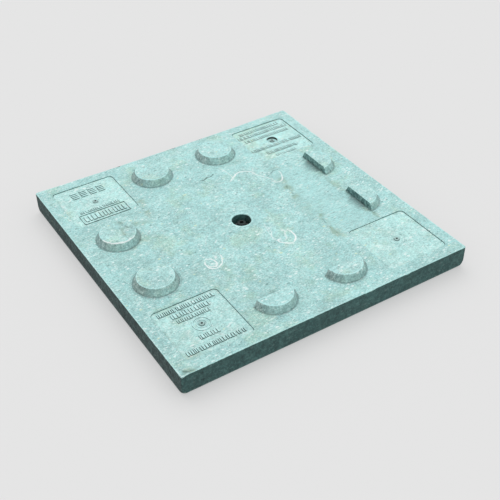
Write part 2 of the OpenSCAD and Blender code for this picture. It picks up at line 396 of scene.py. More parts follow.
def edge_sag(P):
    """How far the stud-side face has sunk and worn back along its two far edges."""
    x, y = P[:, 0], P[:, 1]
    a = 1 - sst(-1, 1, (np.abs(x) / 392.0) ** 2.2 * 2 - 1)
    b = 1 - sst(-1, 1, (np.abs(y) / 392.0) ** 2.2 * 2 - 1)
    return 2.0 * a * sst(358, 402, y) ** 1.4 + 0.9 * b * sst(358, 402, x) ** 1.4


def top_height(P):
    """Relief of the slab's stud-side face above or below 60 mm."""
    x, y = P[:, 0], P[:, 1]
    h = 0.22 * fbm(x, y, 150, 3) + 0.10 * fbm(x, y, 28, 9) + 0.05 * vn(x, y, 7, 13)
    pits = vn(x, y, 5.5, 17)
    h -= 0.16 * sst(0.45, 0.9, pits)
    h += 0.10 * sst(0.5, 0.95, vn(x, y, 8.5, 19))
    z = zone_depth(P)
    swirl = np.sin((y * 0.9 + 14 * vn(x, y, 90, 23) + 0.0011 * (x - 230) ** 2) * 2 * math.pi / 7.5)
    h -= z * (1.5 + 0.10 * swirl + 0.08 * vn(x, y, 11, 27))
    for cx, cy, k in [(a, b, 1) for a, b in FULL.values()] + [(a, b, 0) for a, b, r in HALFS.values()]:
        r = np.hypot(x - cx, y - cy)
        side = 1.0
        if not k:
            side = sst(-2, 3, (x - 300) if cx > 200 else (-300 - y))
        h += side * (0.9 * np.exp(-((r - 55.0) / 1.6) ** 2))
        w = {(-300, -100): 0.5, (-300, 100): 0.2, (-100, 300): 0.25, (100, 300): 0.2}.get((cx, cy), 0.15)
        h -= side * w * np.exp(-((r - 60.0) / 1.1) ** 2)
    h -= 2.3 * np.exp(-((x * x + y * y) / 175.0 ** 2))
    return h - edge_sag(P)


# ------------------------------------------------------------------ slab
def stud_loop(half=None, r=30.1, n=48):
    """Outline of a stud's socket round its own middle."""
    if half is None:
        return circle(r, n)
    a = math.acos(1.9 / r)
    t = np.linspace(-a, a, n // 2)
    return np.stack([r * np.cos(t), r * np.sin(t)], 1)


def turned(P, deg):
    a = math.radians(deg)
    c, s = math.cos(a), math.sin(a)
    return P @ np.array([[c, s], [-s, c]])


def slab_ring(P0, N0, off, r):
    """The slab's outline moved in by off, with corner radius r, keeping the points' order."""
    a = HALF - off
    arc = (np.abs(N0[:, 0]) > 1e-9) & (np.abs(N0[:, 1]) > 1e-9)
    k = np.abs(N0[:, 0]) > np.abs(N0[:, 1])
    s = (a - r) / (HALF - CORNER_R)
    Q = np.where(k[:, None], np.stack([np.sign(N0[:, 0]) * a, P0[:, 1] * s], 1), np.stack([P0[:, 0] * s, np.sign(N0[:, 1]) * a], 1))
    A = np.sign(N0) * (a - r)[:, None] + N0 * r[:, None]
    return np.where(arc[:, None], A, Q)


def slab_mesh(mat):
    B = Build()
    P0, N0 = rsq(HALF, CORNER_R, 2.6, 7)
    s = np.arange(len(P0))
    # uneven worn top edge
    wear = 0.9 + 0.35 * vn(P0[:, 0] * 1.0, P0[:, 1], 22, 31) + 0.5 * sst(0.35, 0.9, vn(P0[:, 0], P0[:, 1], 9, 33))
    wear += 1.6 * sst(0.55, 0.95, vn(P0[:, 0], P0[:, 1], 45, 35))
    for px, py, k, w in [(-400, -245, 3.4, 5), (-156, 400, 3.2, 5), (-400, 118, 1.8, 6), (-60, -400, 1.6, 5), (214, -400, 2.2, 7), (400, -160, 2.0, 6),
                         (330, 400, 2.0, 7), (-396, -398, 3.0, 6), (400, 250, 2.4, 8), (20, 400, 1.8, 9)]:
        wear += k * np.exp(-((P0[:, 0] - px) ** 2 + (P0[:, 1] - py) ** 2) / w ** 2)
    far = edge_sag(P0)
    inset = far * 1.15
    rough = lambda k, amp: amp * (0.5 + 0.5 * vn(s * 2.6, np.full(len(s), k * 11.0), 7, 37)) 

    def ring(off, z):
        r = CORNER_R + (12.0 - CORNER_R) * sst(22, 4, z)
        return np.column_stack([slab_ring(P0, N0, off, r), z])

    ones = np.ones(len(P0))
    top_xy = P0 - N0 * (inset + wear)[:, None]
    rings = []
    # bottom rounding
    for a in np.linspace(0, 90, 7):
        t = math.radians(a)
        rings.append((EDGE_R * (1 - math.sin(t)) * ones, EDGE_R * (1 - math.cos(t)) * ones))
    for z in np.arange(12.5, 57.6, 2.5):
        n1 = 0.5 + 0.5 * vn(s * 2.6, np.full(len(s), z), 6, 41)
        n2 = sst(0.3, 0.9, vn(s * 2.6, np.full(len(s), z), 14, 43))
        lean = inset * sst(20, 60, z) ** 1.5
        k = sst(8, 16, z)
        rings.append(((0.22 * n1 + 0.45 * n2) * k + lean, z * ones))
    zt = 60 + top_height(top_xy)
    rings.append((inset + 0.02 * ones, zt - wear * 1.05))
    rings.append((inset + wear * 0.30, zt - wear * 0.32))
    R = np.stack([ring(o, z) for o, z in rings] + [np.column_stack([top_xy, zt])])
    k = len(R)
    # top rim rows: wear plus painted highlight
    edge = np.zeros((k, len(P0)))
    edge[-3:, :] = np.array([0.15, 0.8, 0.7])[:, None]
    edge[3:6, :] = np.array([0.1, 0.2, 0.1])[:, None]
    B.rings(R, edge=edge)

    # holes of the stud-side face
    holes, well = [], circle(27.0, 96)
    holes.append(well)
    for cx, cy in FULL.values():
        holes.append(stud_loop() + (cx, cy))
    for cx, cy, a in HALFS.values():
        holes.append(turned(stud_loop("half"), a) + (cx, cy))
    pockets = []
    for c in CORN:
        L, N = rsq(87.5, 12.2, 3.0, 10)
        pockets.append((L + np.array(c) * PP, N))
        holes.append(pockets[-1][0] + N * 0.9)

    # free points: jittered, denser near marks
    g = np.random.default_rng(5)

    def grid(x0, x1, y0, y1, d):
        X, Y = np.meshgrid(np.arange(x0, x1, d), np.arange(y0, y1, d * 0.866))
        X = X + (np.arange(X.shape[0]) % 2)[:, None] * d * 0.5
        Q = np.stack([X.ravel(), Y.ravel()], 1)
        return Q + g.uniform(-0.22, 0.22, Q.shape) * d

    base = grid(-398, 398, -398, 398, 3.0)
    boxes = []
    for pts, w, _ in SCUFFS_AND_RIM_HIGHLIGHT + DARKS:
        a = np.array(pts, float)
        boxes.append((a.min(0) - 7, a.max(0) + 7, 1.25))
    for cx, cy in list(FULL.values()) + [(a, b) for a, b, c in HALFS.values()]:
        boxes.append((np.array([cx, cy]) - 64.0, np.array([cx, cy]) + 64.0, 1.7))
    boxes.append((np.array([-34.0, -34.0]), np.array([34.0, 34.0]), 1.6))
    taken = np.zeros(len(base), bool)
    parts = []
    for lo, hi, d in sorted(boxes, key=lambda b: b[2]):
        lo, hi = np.maximum(lo, -398.0), np.minimum(hi, 398.0)
        if (hi - lo).min() < 3:
            continue
        Q = grid(lo[0], hi[0], lo[1], hi[1], d)
        for plo, phi in parts and [(p[1], p[2]) for p in parts] or []:
            Q = Q[~np.all((Q > plo) & (Q < phi), 1)]
        parts.append((Q, lo, hi))
        taken |= np.all((base > lo) & (base < hi), 1)
    rim = np.abs(base).max(1) > 350
    inner = np.concatenate([base[~taken]] + [p[0] for p in parts])
    # rings of points round the stud feet
    feet = []
    for cx, cy in list(FULL.values()) + [(a, b) for a, b, c in HALFS.values()]:
        for r in (53.6, 54.6, 55.4, 56.3, 57.4, 59.0, 60.0, 61.0):
            feet.append(circle(r, int(r * 2 * math.pi / 2.2), cx, cy))
    feet = np.concatenate(feet)
    d_in = np.concatenate([inner])
    for cx, cy in list(FULL.values()) + [(a, b) for a, b, c in HALFS.values()]:
        r = np.hypot(d_in[:, 0] - cx, d_in[:, 1] - cy)
        d_in = d_in[(r < 52.6) | (r > 62.2)]
    inner = np.concatenate([d_in, feet])
    ok = inside(inner, P0 - N0 * (inset + wear + 1.2)[:, None])
    for L, N in pockets:
        ok &= ~inside(inner, L + N * 2.0)
    r = np.hypot(inner[:, 0], inner[:, 1])
    ok &= r > 28.2
    for cx, cy in list(FULL.values()) + [(a, b) for a, b, c in HALFS.values()]:
        ok &= np.hypot(inner[:, 0] - cx, inner[:, 1] - cy) > 31.5
    inner = inner[ok]
    V, F = fill(top_xy, holes, inner)
    h = top_height(V)
    sc, dk, dt = top_marks(V)
    zz = zone_depth(V)
    e = np.abs(V).max(1)
    rw = np.hypot(V[:, 0], V[:, 1])
    # wear plus painted highlight on the outer rim, and a painted highlight ring round the well
    worn_and_lit = np.maximum(sst(396.5, 399.5, e) * 0.5, 0.75 * np.exp(-((rw - 28.0) / 2.2) ** 2))
    # painted shade round the stud feet, along the half studs' flats and round the pockets
    cav = np.zeros(len(V))
    for cx, cy in FULL.values():
        rr = np.hypot(V[:, 0] - cx, V[:, 1] - cy)
        cav = np.maximum(cav, 0.8 * np.exp(-((rr - 55.5) / 2.2) ** 2))
        if (cx, cy) == (-300, -100):
            cav = np.maximum(cav, 0.35 * np.exp(-((rr - 60.0) / 1.3) ** 2))
    for cx, cy, a in HALFS.values():
        Q = turned(V - (cx, cy), -a)
        rr = np.hypot(Q[:, 0], Q[:, 1])
        m = Q[:, 0] > -1
        cav = np.maximum(cav, np.where(m, 0.7 * np.exp(-((rr - 55.5) / 2.2) ** 2), 0))
        fl = np.exp(-(np.clip(-Q[:, 0], 0, None) / 3.2) ** 2) * (Q[:, 0] < 0.5) * (np.abs(Q[:, 1]) < 54)
        cav = np.maximum(cav, 0.75 * fl)
    for L, N in pockets:
        c = L.mean(0)
        q = np.abs(V - c).max(1)
        cav = np.maximum(cav, 0.25 * np.exp(-((q - 88.4) / 0.9) ** 2))
    B.add(np.column_stack([V, 60 + h]), tris=F, scuff=sc, dark=dk, dirt=dt, zone=zz, edge=worn_and_lit, cav=cav)

    # pocket walls and floors with the insert's hole
    for L, N in pockets:
        o = L + N * 0.9
        z0 = 60 + top_height(o)
        R = [np.column_stack([L, np.full(len(L), POCKET_Z)]), np.column_stack([L, np.full(len(L), 57.6)]),
             np.column_stack([L, np.full(len(L), 59.0)]), np.column_stack([L + N * 0.25, z0 - 0.28]), np.column_stack([o, z0])]
        # painted shade low on the pocket walls; the upper wall is painted pale with wear and painted light
        shade_amt = np.array([0.9, 0.6, 0.1, 0.0, 0.0])[:, None] * np.ones((1, len(L)))
        wear_hl_ring = np.array([0.0, 0.25, 0.55, 0.7, 0.2])[:, None] * np.ones((1, len(L)))
        B.rings(R, flip=True, cav=shade_amt, edge=wear_hl_ring)
        c = L.mean(0)
        hole = circle(6.0, 32, *c)
        V2, F2 = fill(L, [hole], np.zeros((0, 2)))
        # floor and insert hole painted fully in shade
        B.add(np.column_stack([V2, np.full(len(V2), POCKET_Z)]), tris=F2, cav=1.0)
        R = [np.column_stack([hole, np.full(32, z)]) for z in (20.0, 46.0)]
        B.rings(R, flip=True, cav=1.0)
        B.add(np.column_stack([hole, np.full(32, 20.0)]), ngons=[list(range(32))], cav=1.0)
    # stud sockets, painted fully in shade
    for L in [stud_loop() + p for p in FULL.values()] + [turned(stud_loop("half"), a) + (cx, cy) for cx, cy, a in HALFS.values()]:
        z0 = 60 + top_height(L)
        B.rings([np.column_stack([L, np.full(len(L), POCKET_Z)]), np.column_stack([L, z0])], flip=True, cav=1.0)
        B.add(np.column_stack([L, np.full(len(L), POCKET_Z)]), ngons=[list(range(len(L)))], cav=1.0)
    # well, web bore and road recess, from the stud side down
    n = 96
    z0 = 60 + top_height(well)
    R = [np.column_stack([well, z0]), np.column_stack([circle(26.4, n), z0 - 0.35]), np.column_stack([circle(25.5, n), z0 - 1.1]),
         np.column_stack([circle(25.05, n), z0 - 1.9])]
    zs = np.concatenate([np.arange(56, 20.5, -2.0), [20.0]])
    for z in zs:
        c = circle(25.0, n)
        w = 0.18 * vn(np.arange(n) * 1.6, np.full(n, z), 5, 47)
        R.append(np.column_stack([c * (1 + w[:, None] / 25), np.full(n, z)]))
    R.append(np.column_stack([circle(13.0, n), np.full(n, 20.0)]))
    R.append(np.column_stack([circle(13.0, n), np.full(n, 12.0)]))
    R.append(np.column_stack([circle(35.0, n), np.full(n, 12.0)]))
    R.append(np.column_stack([circle(35.0, n), np.full(n, 1.0)]))
    R.append(np.column_stack([circle(36.0, n), np.full(n, 0.0)]))
    # painted light lifts the well's wall (negative values); painted shade darkens the web bore and road recess; the rim
    # gets wear plus painted highlight
    shade_amt = np.array([0.0, 0.0, 0.0, 0.15] + [-0.9] * (len(R) - 14) + [-0.3] * 5 + [1, 1, 0.8, 0.5, 0.2])
    wear_hl = np.array([0.7, 0.9, 0.5] + [0.0] * (len(R) - 3))
    R = np.array(R)
    B.rings(R[::-1], flip=True, cav=(shade_amt[::-1][:, None] * np.ones((1, n))), edge=(wear_hl[::-1][:, None] * np.ones((1, n))))
    # road face with shallow anti-slip grooves, none of it below the ground
    lines = []
    for c in np.arange(-350, 351, 25.0):
        lines += [c - 2.6, c - 1.4, c + 1.4, c + 2.6]
    lines = np.array(lines)
    X, Y = np.meshgrid(lines, lines)
    Q = np.stack([X.ravel(), Y.ravel()], 1)
    Q = Q[np.hypot(Q[:, 0], Q[:, 1]) > 58]
    outer = slab_ring(P0, N0, EDGE_R * ones, 12.0 * ones)
    V3, F3 = fill(outer, [circle(36.0, n), circle(56.0, 72)], Q, up=False)
    V4, F4 = fill(circle(56.0, 72), [circle(36.0, n)], np.zeros((0, 2)), up=False)

    def groove(V):
        gx = np.abs((V[:, 0] + 350 + 12.5) % 25 - 12.5)
        gy = np.abs((V[:, 1] + 350 + 12.5) % 25 - 12.5)
        d = 1 - sst(1.3, 2.7, np.minimum(gx, gy))
        inn = (np.abs(V).max(1) < 353) & (np.hypot(V[:, 0], V[:, 1]) > 57)
        return 1.3 * d * inn

    g3 = groove(V3)
    # painted shade in the grooves
    B.add(np.column_stack([V3, g3]), tris=F3, cav=np.clip(g3 * 0.5, 0, 1))
    B.add(np.column_stack([V4, np.zeros(len(V4))]), tris=F4)
    return B.obj("slab_body", mat)


# ------------------------------------------------------------------ studs
def stud_attrs(P, z, top, side):
    sc, dk, dt = top_marks(P)
    # painted shade darkens the stud's foot
    return dict(scuff=sc * top, dark=dk * top, dirt=np.maximum(dt * top, 0.25 * side * sst(0.2, 0.8, vn(P[:, 0], P[:, 1], 14, 91))),
                cav=0.55 * (1 - sst(59.5, 63.0, z)))


def full_stud(name, cx, cy, mat, seed):
    B = Build()
    n = 120
    C = circle(1.0, n)
    a = np.arange(n) * 2 * math.pi / n
    wob = 0.22 * vn(np.cos(a) * 40, np.sin(a) * 40, 16, seed) + 0.12 * vn(np.cos(a) * 40, np.sin(a) * 40, 5, seed + 1)
    prof = [(30.0, 46.2, 0), (30.0, 58.4, 0), (54.4, 58.5, 0), (55.4, 58.9, 0), (55.05, 60.0, 0), (54.55, 60.9, 0.4), (53.9, 62.2, 1), (52.9, 64.2, 1),
            (51.9, 66.2, 1), (50.9, 68.2, 1), (49.9, 70.2, 1), (48.9, 72.2, 1), (47.95, 74.1, 1), (47.0, 76.0, 0.7), (46.4, 77.2, 0.5),
            (46.0, 78.2, 0.35), (45.5, 79.0, 0.25), (44.7, 79.55, 0.2), (43.6, 79.74, 0.1), (42.2, 79.75, 0.0)]
    rings, shade_amt, wear_hl = [], [], []
    for r, z, w in prof:
        rr = r + wob * w * (1 + 0.4 * np.sin(z * 1.7 + a * 3))
        zz = np.full(n, z)
        if z > 77:
            zz = z - 0.12 - 0.12 * vn(C[:, 0] * 45, C[:, 1] * 45, 12, seed + 2) * (z > 79)
        rings.append(np.column_stack([cx + C[:, 0] * rr, cy + C[:, 1] * rr, zz]))
        # top rim marked for wear plus painted highlight
        wear_hl.append(np.full(n, 1.0 if 78.0 < z < 79.7 else 0.0))
    R = np.array(rings)
    flat = R.reshape(-1, 3)
    at = stud_attrs(flat[:, :2], flat[:, 2], (flat[:, 2] > 78) * 1.0, (flat[:, 2] < 78) * 1.0)
    B.rings(R, edge=np.array(wear_hl), **at)
    # socket face painted fully in shade
    B.add(np.column_stack([cx + C[:, 0] * 30, cy + C[:, 1] * 30, np.full(n, 46.2)]), ngons=[list(range(n))[::-1]], cav=1.0)
    outer = R[-1][:, :2]
    g = np.random.default_rng(seed)
    X, Y = np.meshgrid(np.arange(-42, 43, 2.4), np.arange(-42, 43, 2.1))
    Q = np.stack([X.ravel(), Y.ravel()], 1) + g.uniform(-0.5, 0.5, (X.size, 2))
    Q = Q[np.hypot(Q[:, 0], Q[:, 1]) < 40.4] + (cx, cy)
    V, F = fill(outer, [], Q)
    rr = np.hypot(V[:, 0] - cx, V[:, 1] - cy)
    z = 79.58 - 0.12 * vn((V[:, 0] - cx), (V[:, 1] - cy), 12, seed + 2) * sst(42, 38, rr) - 0.35 * (1 - (rr / 42) ** 2) - 0.10 * sst(0.4, 0.9, vn(V[:, 0], V[:, 1], 5, seed + 3))
    edge_z = {tuple(np.round(p[:2], 4)): p[2] for p in R[-1]}
    z = np.array([edge_z.get(tuple(np.round(p, 4)), h) for p, h in zip(V, z)])
    z = np.minimum(z, 79.9)
    at = stud_attrs(V, z, 1.0, 0.0)
    B.add(np.column_stack([V, z]), tris=F, edge=0.0, **at)
    return B.obj(name, mat, angle=50)


def half_stud(name, cx, cy, deg, mat, seed):
    B = Build()
    na, nf = 72, 44

    def outline(r, x0):
        t0 = math.acos(max(-1, min(1, x0 / r)))
        t = np.linspace(-t0, t0, na, endpoint=False)
        arc = np.stack([r * np.cos(t), r * np.sin(t)], 1)
        y1 = math.sqrt(max(0, r * r - x0 * x0))
        y = np.linspace(y1, -y1, nf, endpoint=False)
        return np.concatenate([arc, np.stack([np.full(nf, x0), y], 1)])

    prof = [(30.0, 46.2, 2.0, 0), (30.0, 58.4, 2.0, 0), (54.4, 58.5, 0.3, 0), (55.0, 60.0, 0.05, 0), (54.5, 61.0, 0.05, 1), (53.4, 63.2, 0.02, 1), (52.3, 65.4, 0.02, 1),
            (51.2, 67.6, 0.02, 1), (50.1, 69.8, 0.02, 1), (49.0, 72.0, 0.02, 1), (48.0, 74.0, 0.02, 1), (47.1, 75.8, 0.05, 1), (46.5, 77.0, 0.08, 1),
            (46.0, 78.1, 0.2, 1), (45.4, 79.0, 0.5, 1), (44.5, 79.55, 1.1, 1), (43.4, 79.7, 2.0, 1)]
    rings, wear_hl = [], []
    n = na + nf
    isflat = np.arange(n) >= na
    for i, (r, z, x0, w) in enumerate(prof):
        L = outline(r, x0)
        k = np.arange(n)
        rag = np.where(isflat, 0.28 * (0.5 + 0.5 * vn(L[:, 1], np.full(n, z * 1.0), 3.2, seed)) + 0.5 * sst(0.45, 0.9, vn(L[:, 1], np.full(n, z), 7, seed + 1)), 0) * w
        L = L.copy()
        L[:, 0] += rag
        wob = np.where(isflat, 0, 0.2 * vn(L[:, 0], L[:, 1], 15, seed + 2)) * w
        L = L * (1 + wob / 50)[:, None]
        P = turned(L, deg) + (cx, cy)
        rings.append(np.column_stack([P, np.full(n, z - (0.15 if z > 78 else 0))]))
        # top rim marked for wear plus painted highlight
        wear_hl.append(np.full(n, 1.0 if 77.9 < z < 79.6 else 0.0))
    R = np.array(rings)
    flat = R.reshape(-1, 3)
    at = stud_attrs(flat[:, :2], flat[:, 2], (flat[:, 2] > 78) * 1.0, (flat[:, 2] < 78) * 1.0)
    B.rings(R, edge=np.array(wear_hl), cut=np.tile(isflat * 1.0, len(prof)), **at)
    # socket face painted fully in shade
    B.add(R[0], ngons=[list(range(n))[::-1]], cav=1.0)
    g = np.random.default_rng(seed)
    X, Y = np.meshgrid(np.arange(3.5, 43, 2.4), np.arange(-42, 43, 2.1))
    Q = np.stack([X.ravel(), Y.ravel()], 1) + g.uniform(-0.5, 0.5, (X.size, 2))
    Q = turned(Q[np.hypot(Q[:, 0], Q[:, 1]) < 41.4], deg) + (cx, cy)
    Q = Q[inside(Q, R[-1][:, :2])]
    V, F = fill(R[-1][:, :2], [], Q)
    z = 79.5 + 0.10 * vn(V[:, 0], V[:, 1], 12, seed + 5) - 0.10 * sst(0.4, 0.9, vn(V[:, 0], V[:, 1], 5, seed + 3))
    edge_z = {tuple(np.round(p[:2], 4)): p[2] for p in R[-1]}
    z = np.array([edge_z.get(tuple(np.round(p, 4)), h) for p, h in zip(V, z)])
    at = stud_attrs(V, z, 1.0, 0.0)
    B.add(np.column_stack([V, z]), tris=F, edge=0.0, **at)
    return B.obj(name, mat, angle=50)


# ------------------------------------------------------------------ marking plates
def block(B, cx, cy, w, h, z0, up, lean=0.45, **attr):
    """One raised block with rounded corners and a softened top edge."""
    r = min(w, h) * 0.22
    L = []
    for k, (sx, sy) in enumerate([(1, -1), (1, 1), (-1, 1), (-1, -1)]):
        for t in np.radians(np.array([-90, -45, 0]) + 90 * k):
            L.append((cx + sx * (w / 2 - r) + r * math.cos(t), cy + sy * (h / 2 - r) + r * math.sin(t)))
    L = np.array(L)
    c = np.array([cx, cy])

    def shrink(d):
        return c + (L - c) * np.array([1 - 2 * d / w, 1 - 2 * d / h])

    n = len(L)
    R = [np.column_stack([shrink(-0.75), np.full(n, z0 - 0.3)]), np.column_stack([shrink(-0.1), np.full(n, z0 + 0.3)]), np.column_stack([shrink(lean * 0.3), np.full(n, z0 + up * 0.75)]),
         np.column_stack([shrink(lean * 0.7), np.full(n, z0 + up * 0.96)]), np.column_stack([shrink(lean * 1.1), np.full(n, z0 + up)])]
    # painted shade round each block's foot; wear plus painted highlight on its top edge
    B.rings(R, edge=np.repeat([0.0, 0.0, 0.1, 0.6, 0.5], n), cav=np.repeat([0.85, 1.1, 0.6, 0.0, 0.0], n), **attr)
    B.add(R[-1], ngons=[list(range(n))], edge=0.1, **attr)


def code_row(B, x0, y, w, h, seed, z0, up=1.15, unit=1.0):
    """A row of plain upright bars of uneven width: an abstract strip that says nothing."""
    g = np.random.default_rng(seed)
    x = -w / 2
    while x < w / 2 - 2.5:
        bw = unit * float(g.choice([2.2, 2.8, 3.6, 5.4]))
        bw = min(bw, w / 2 - x)
        cx = x0 + x + bw / 2
        if bw < 2:
            break
        block(B, cx, y, bw, h, z0, up)
        x += bw + unit * float(g.choice([1.6, 2.0, 2.6, 4.6], p=[0.4, 0.3, 0.18, 0.12]))


def frame_line(B, cx, cy, w, h, t, z0, up):
    for dx, dy, a, b in [(0, h / 2, w, t), (0, -h / 2, w, t), (w / 2, 0, t, h - t), (-w / 2, 0, t, h - t)]:
        block(B, cx + dx, cy + dy, a, b, z0, up)


def ring_mark(B, cx, cy, r0, r1, z0, up):
    C = circle(1.0, 64)
    prof = [(r1 + 0.2, z0 - 0.2), (r1, z0 + up * 0.7), (r1 - 0.4, z0 + up), (r0 + 0.4, z0 + up), (r0, z0 + up * 0.7), (r0 - 0.2, z0 - 0.2)]
    R = [np.column_stack([cx + C[:, 0] * q, cy + C[:, 1] * q, np.full(64, z)]) for q, z in prof]
    # painted shade round the ring's foot; wear plus painted highlight on its top
    B.rings(R, edge=np.repeat([0.0, 0.4, 0.8, 0.8, 0.4, 0.0], 64), cav=np.repeat([0.8, 0.5, 0.0, 0.0, 0.5, 0.8], 64))


def plate(name, kx, ky, mat, pit, marks, seed):
    B = Build()
    cx, cy = kx * PP, ky * PP
    L, N = rsq(87.3, 12.0, 3.0, 9)
    L = L + (cx, cy)
    n = len(L)

    def rel(P):
        x, y = P[:, 0], P[:, 1]
        return 0.10 * fbm(x, y, 40, seed) + 0.05 * vn(x, y, 7, seed + 1) - 0.10 * sst(0.5, 0.9, vn(x, y, 6, seed + 2)) - 0.1

    top = L - N * 1.1
    zt = PLATE_Z + rel(top)
    R = [np.column_stack([L, np.full(n, POCKET_Z)]), np.column_stack([L, np.full(n, 56.6)]), np.column_stack([L - N * 0.25, zt - 0.45]),
         np.column_stack([L - N * 0.6, zt - 0.12]), np.column_stack([top, zt])]
    # painted shade low on the plate's wall; wear plus painted highlight on its top edge
    B.rings(R, edge=np.repeat([0, 0.2, 0.7, 0.6, 0.2], n), cav=np.repeat([0.9, 0.55, 0.1, 0.0, 0.0], n))
    B.add(R[0], ngons=[list(range(n))[::-1]], cav=1.0)
    rc, zc = (15.0, 52.0) if pit else (9.0, 55.6)
    m = 64
    lip = circle(rc + 0.8, m, cx, cy)
    g = np.random.default_rng(seed)
    X, Y = np.meshgrid(np.arange(-86, 86.1, 2.6), np.arange(-86, 86.1, 2.25))
    X = X + (np.arange(X.shape[0]) % 2)[:, None] * 1.3
    Q = np.stack([X.ravel(), Y.ravel()], 1) + g.uniform(-0.4, 0.4, (X.size, 2)) + (cx, cy)
    ok = inside(Q, L - N * 2.4) & (np.hypot(Q[:, 0] - cx, Q[:, 1] - cy) > rc + 2.2)
    extra = np.concatenate([circle(q, int(q * 2.6), cx, cy) for q in (rc + 1.4, rc + 3.0)])
    V, F = fill(top, [lip], np.concatenate([Q[ok], extra]))
    z = PLATE_Z + rel(V)
    rr = np.hypot(V[:, 0] - cx, V[:, 1] - cy)
    # painted shade round the counterbore and along the plate's edge
    cav = 0.2 * np.exp(-((rr - rc - 1.5) / 1.5) ** 2)
    q = np.abs(V - (cx, cy)).max(1)
    cav = np.maximum(cav, 0.25 * sst(85.2, 86.4, q))
    dirt = 0.45 * sst(0.25, 0.9, fbm(V[:, 0], V[:, 1], 34, seed + 5)) + 0.5 * np.exp(-((86 - q) / 5.0) ** 2) * sst(-0.2, 0.8, vn(V[:, 0], V[:, 1], 20, seed + 6))
    if name.endswith("front_left"):
        dirt = np.maximum(dirt, 0.75 * np.exp(-(((V[:, 0] - cx + 68) / 26) ** 2 + ((V[:, 1] - cy + 76) / 16) ** 2)))
    scf = 0.35 * sst(0.35, 0.85, fbm(V[:, 0], V[:, 1], 22, seed + 8))
    B.add(np.column_stack([V, z]), tris=F, cav=cav, dirt=dirt, scuff=scf)
    # counterbore or pit, and the hole for the screw
    # round a screw that isn't in a pit, the gap is packed with dirt that sits high and is painted pale, partly as
    # painted light; painted shade marks the walls of the counterbore and of the pit
    if pit:
        steps = [(rc + 0.8, None), (rc + 0.25, -0.25), (rc, -0.8), (rc, zc + 0.3), (rc - 0.3, zc), (4.6, zc), (4.5, POCKET_Z)]
        shade_amt, wear_hl_ring = [1, 0.0, 0.1, 1.3, 1.3, 0.4, 0.1], [0, 0, 0.3, 0, 0, 0.5, 0.2]
    else:
        steps = [(rc + 0.8, None), (rc + 0.25, -0.2), (rc, -0.4), (rc - 0.3, 57.3), (7.35, 57.1), (7.2, zc), (4.6, zc), (4.5, POCKET_Z)]
        shade_amt, wear_hl_ring = [1, 0.5, 0.5, 0.25, 0.1, 0.1, 0.1, 0.1], [0, 0, 0, 0.2, 0.3, 0.4, 0.4, 0.2]
    R = []
    zl = PLATE_Z + rel(lip)
    for r, h in steps:
        zz = zl if h is None else (zl + h if h < 0 else np.full(m, h))
        R.append(np.column_stack([circle(r, m, cx, cy), zz]))
    B.rings(np.array(R)[::-1], flip=True, cav=np.repeat(shade_amt, m), edge=np.repeat(wear_hl_ring, m))
    marks(B, cx, cy)
    return B.obj(name, mat, angle=40)


def marks_fl(B, cx, cy):
    for i, (y, w, h) in enumerate([(72, 148, 13), (52, 97, 15), (33, 87, 11), (-37, 52, 14), (-68, 152, 13)]):
        code_row(B, cx, cy + y, w, h, 200 + i, PLATE_Z, 1.95 if i in (0, 4) else 1.7, 1.2 if i == 1 else 1.05)
    ring_mark(B, cx, cy, 20.0, 22.4, PLATE_Z, 1.1)
    ring_mark(B, cx, cy, 11.6, 13.6, PLATE_Z, 0.7)


def marks_bl(B, cx, cy):
    for i in range(4):
        x = cx - 37.5 + 25 * i
        for k in range(4):
            block(B, x, cy + 50 + (k - 1.5) * 7.6, 17.5, 5.0, PLATE_Z, 1.9, 0.45)
    code_row(B, cx, cy - 30, 112, 10, 301, PLATE_Z, 1.3)
    frame_line(B, cx, cy - 61, 128, 40, 2.2, PLATE_Z, 1.9)
    code_row(B, cx, cy - 61, 114, 24, 307, PLATE_Z, 1.95, 1.6)
    ring_mark(B, cx, cy, 19.3, 20.6, PLATE_Z, 0.45)


def marks_br(B, cx, cy):
    for i, (y, w, h) in enumerate([(70, 136, 12), (50, 166, 13), (28, 146, 12), (-26, 168, 12), (-54, 103, 13), (-76, 69, 9)]):
        code_row(B, cx, cy + y, w, h, 401 + i, PLATE_Z, 1.35 if h > 10 else 1.0)


def marks_fr(B, cx, cy):
    ring_mark(B, cx, cy, 19.4, 20.4, PLATE_Z, 0.3)


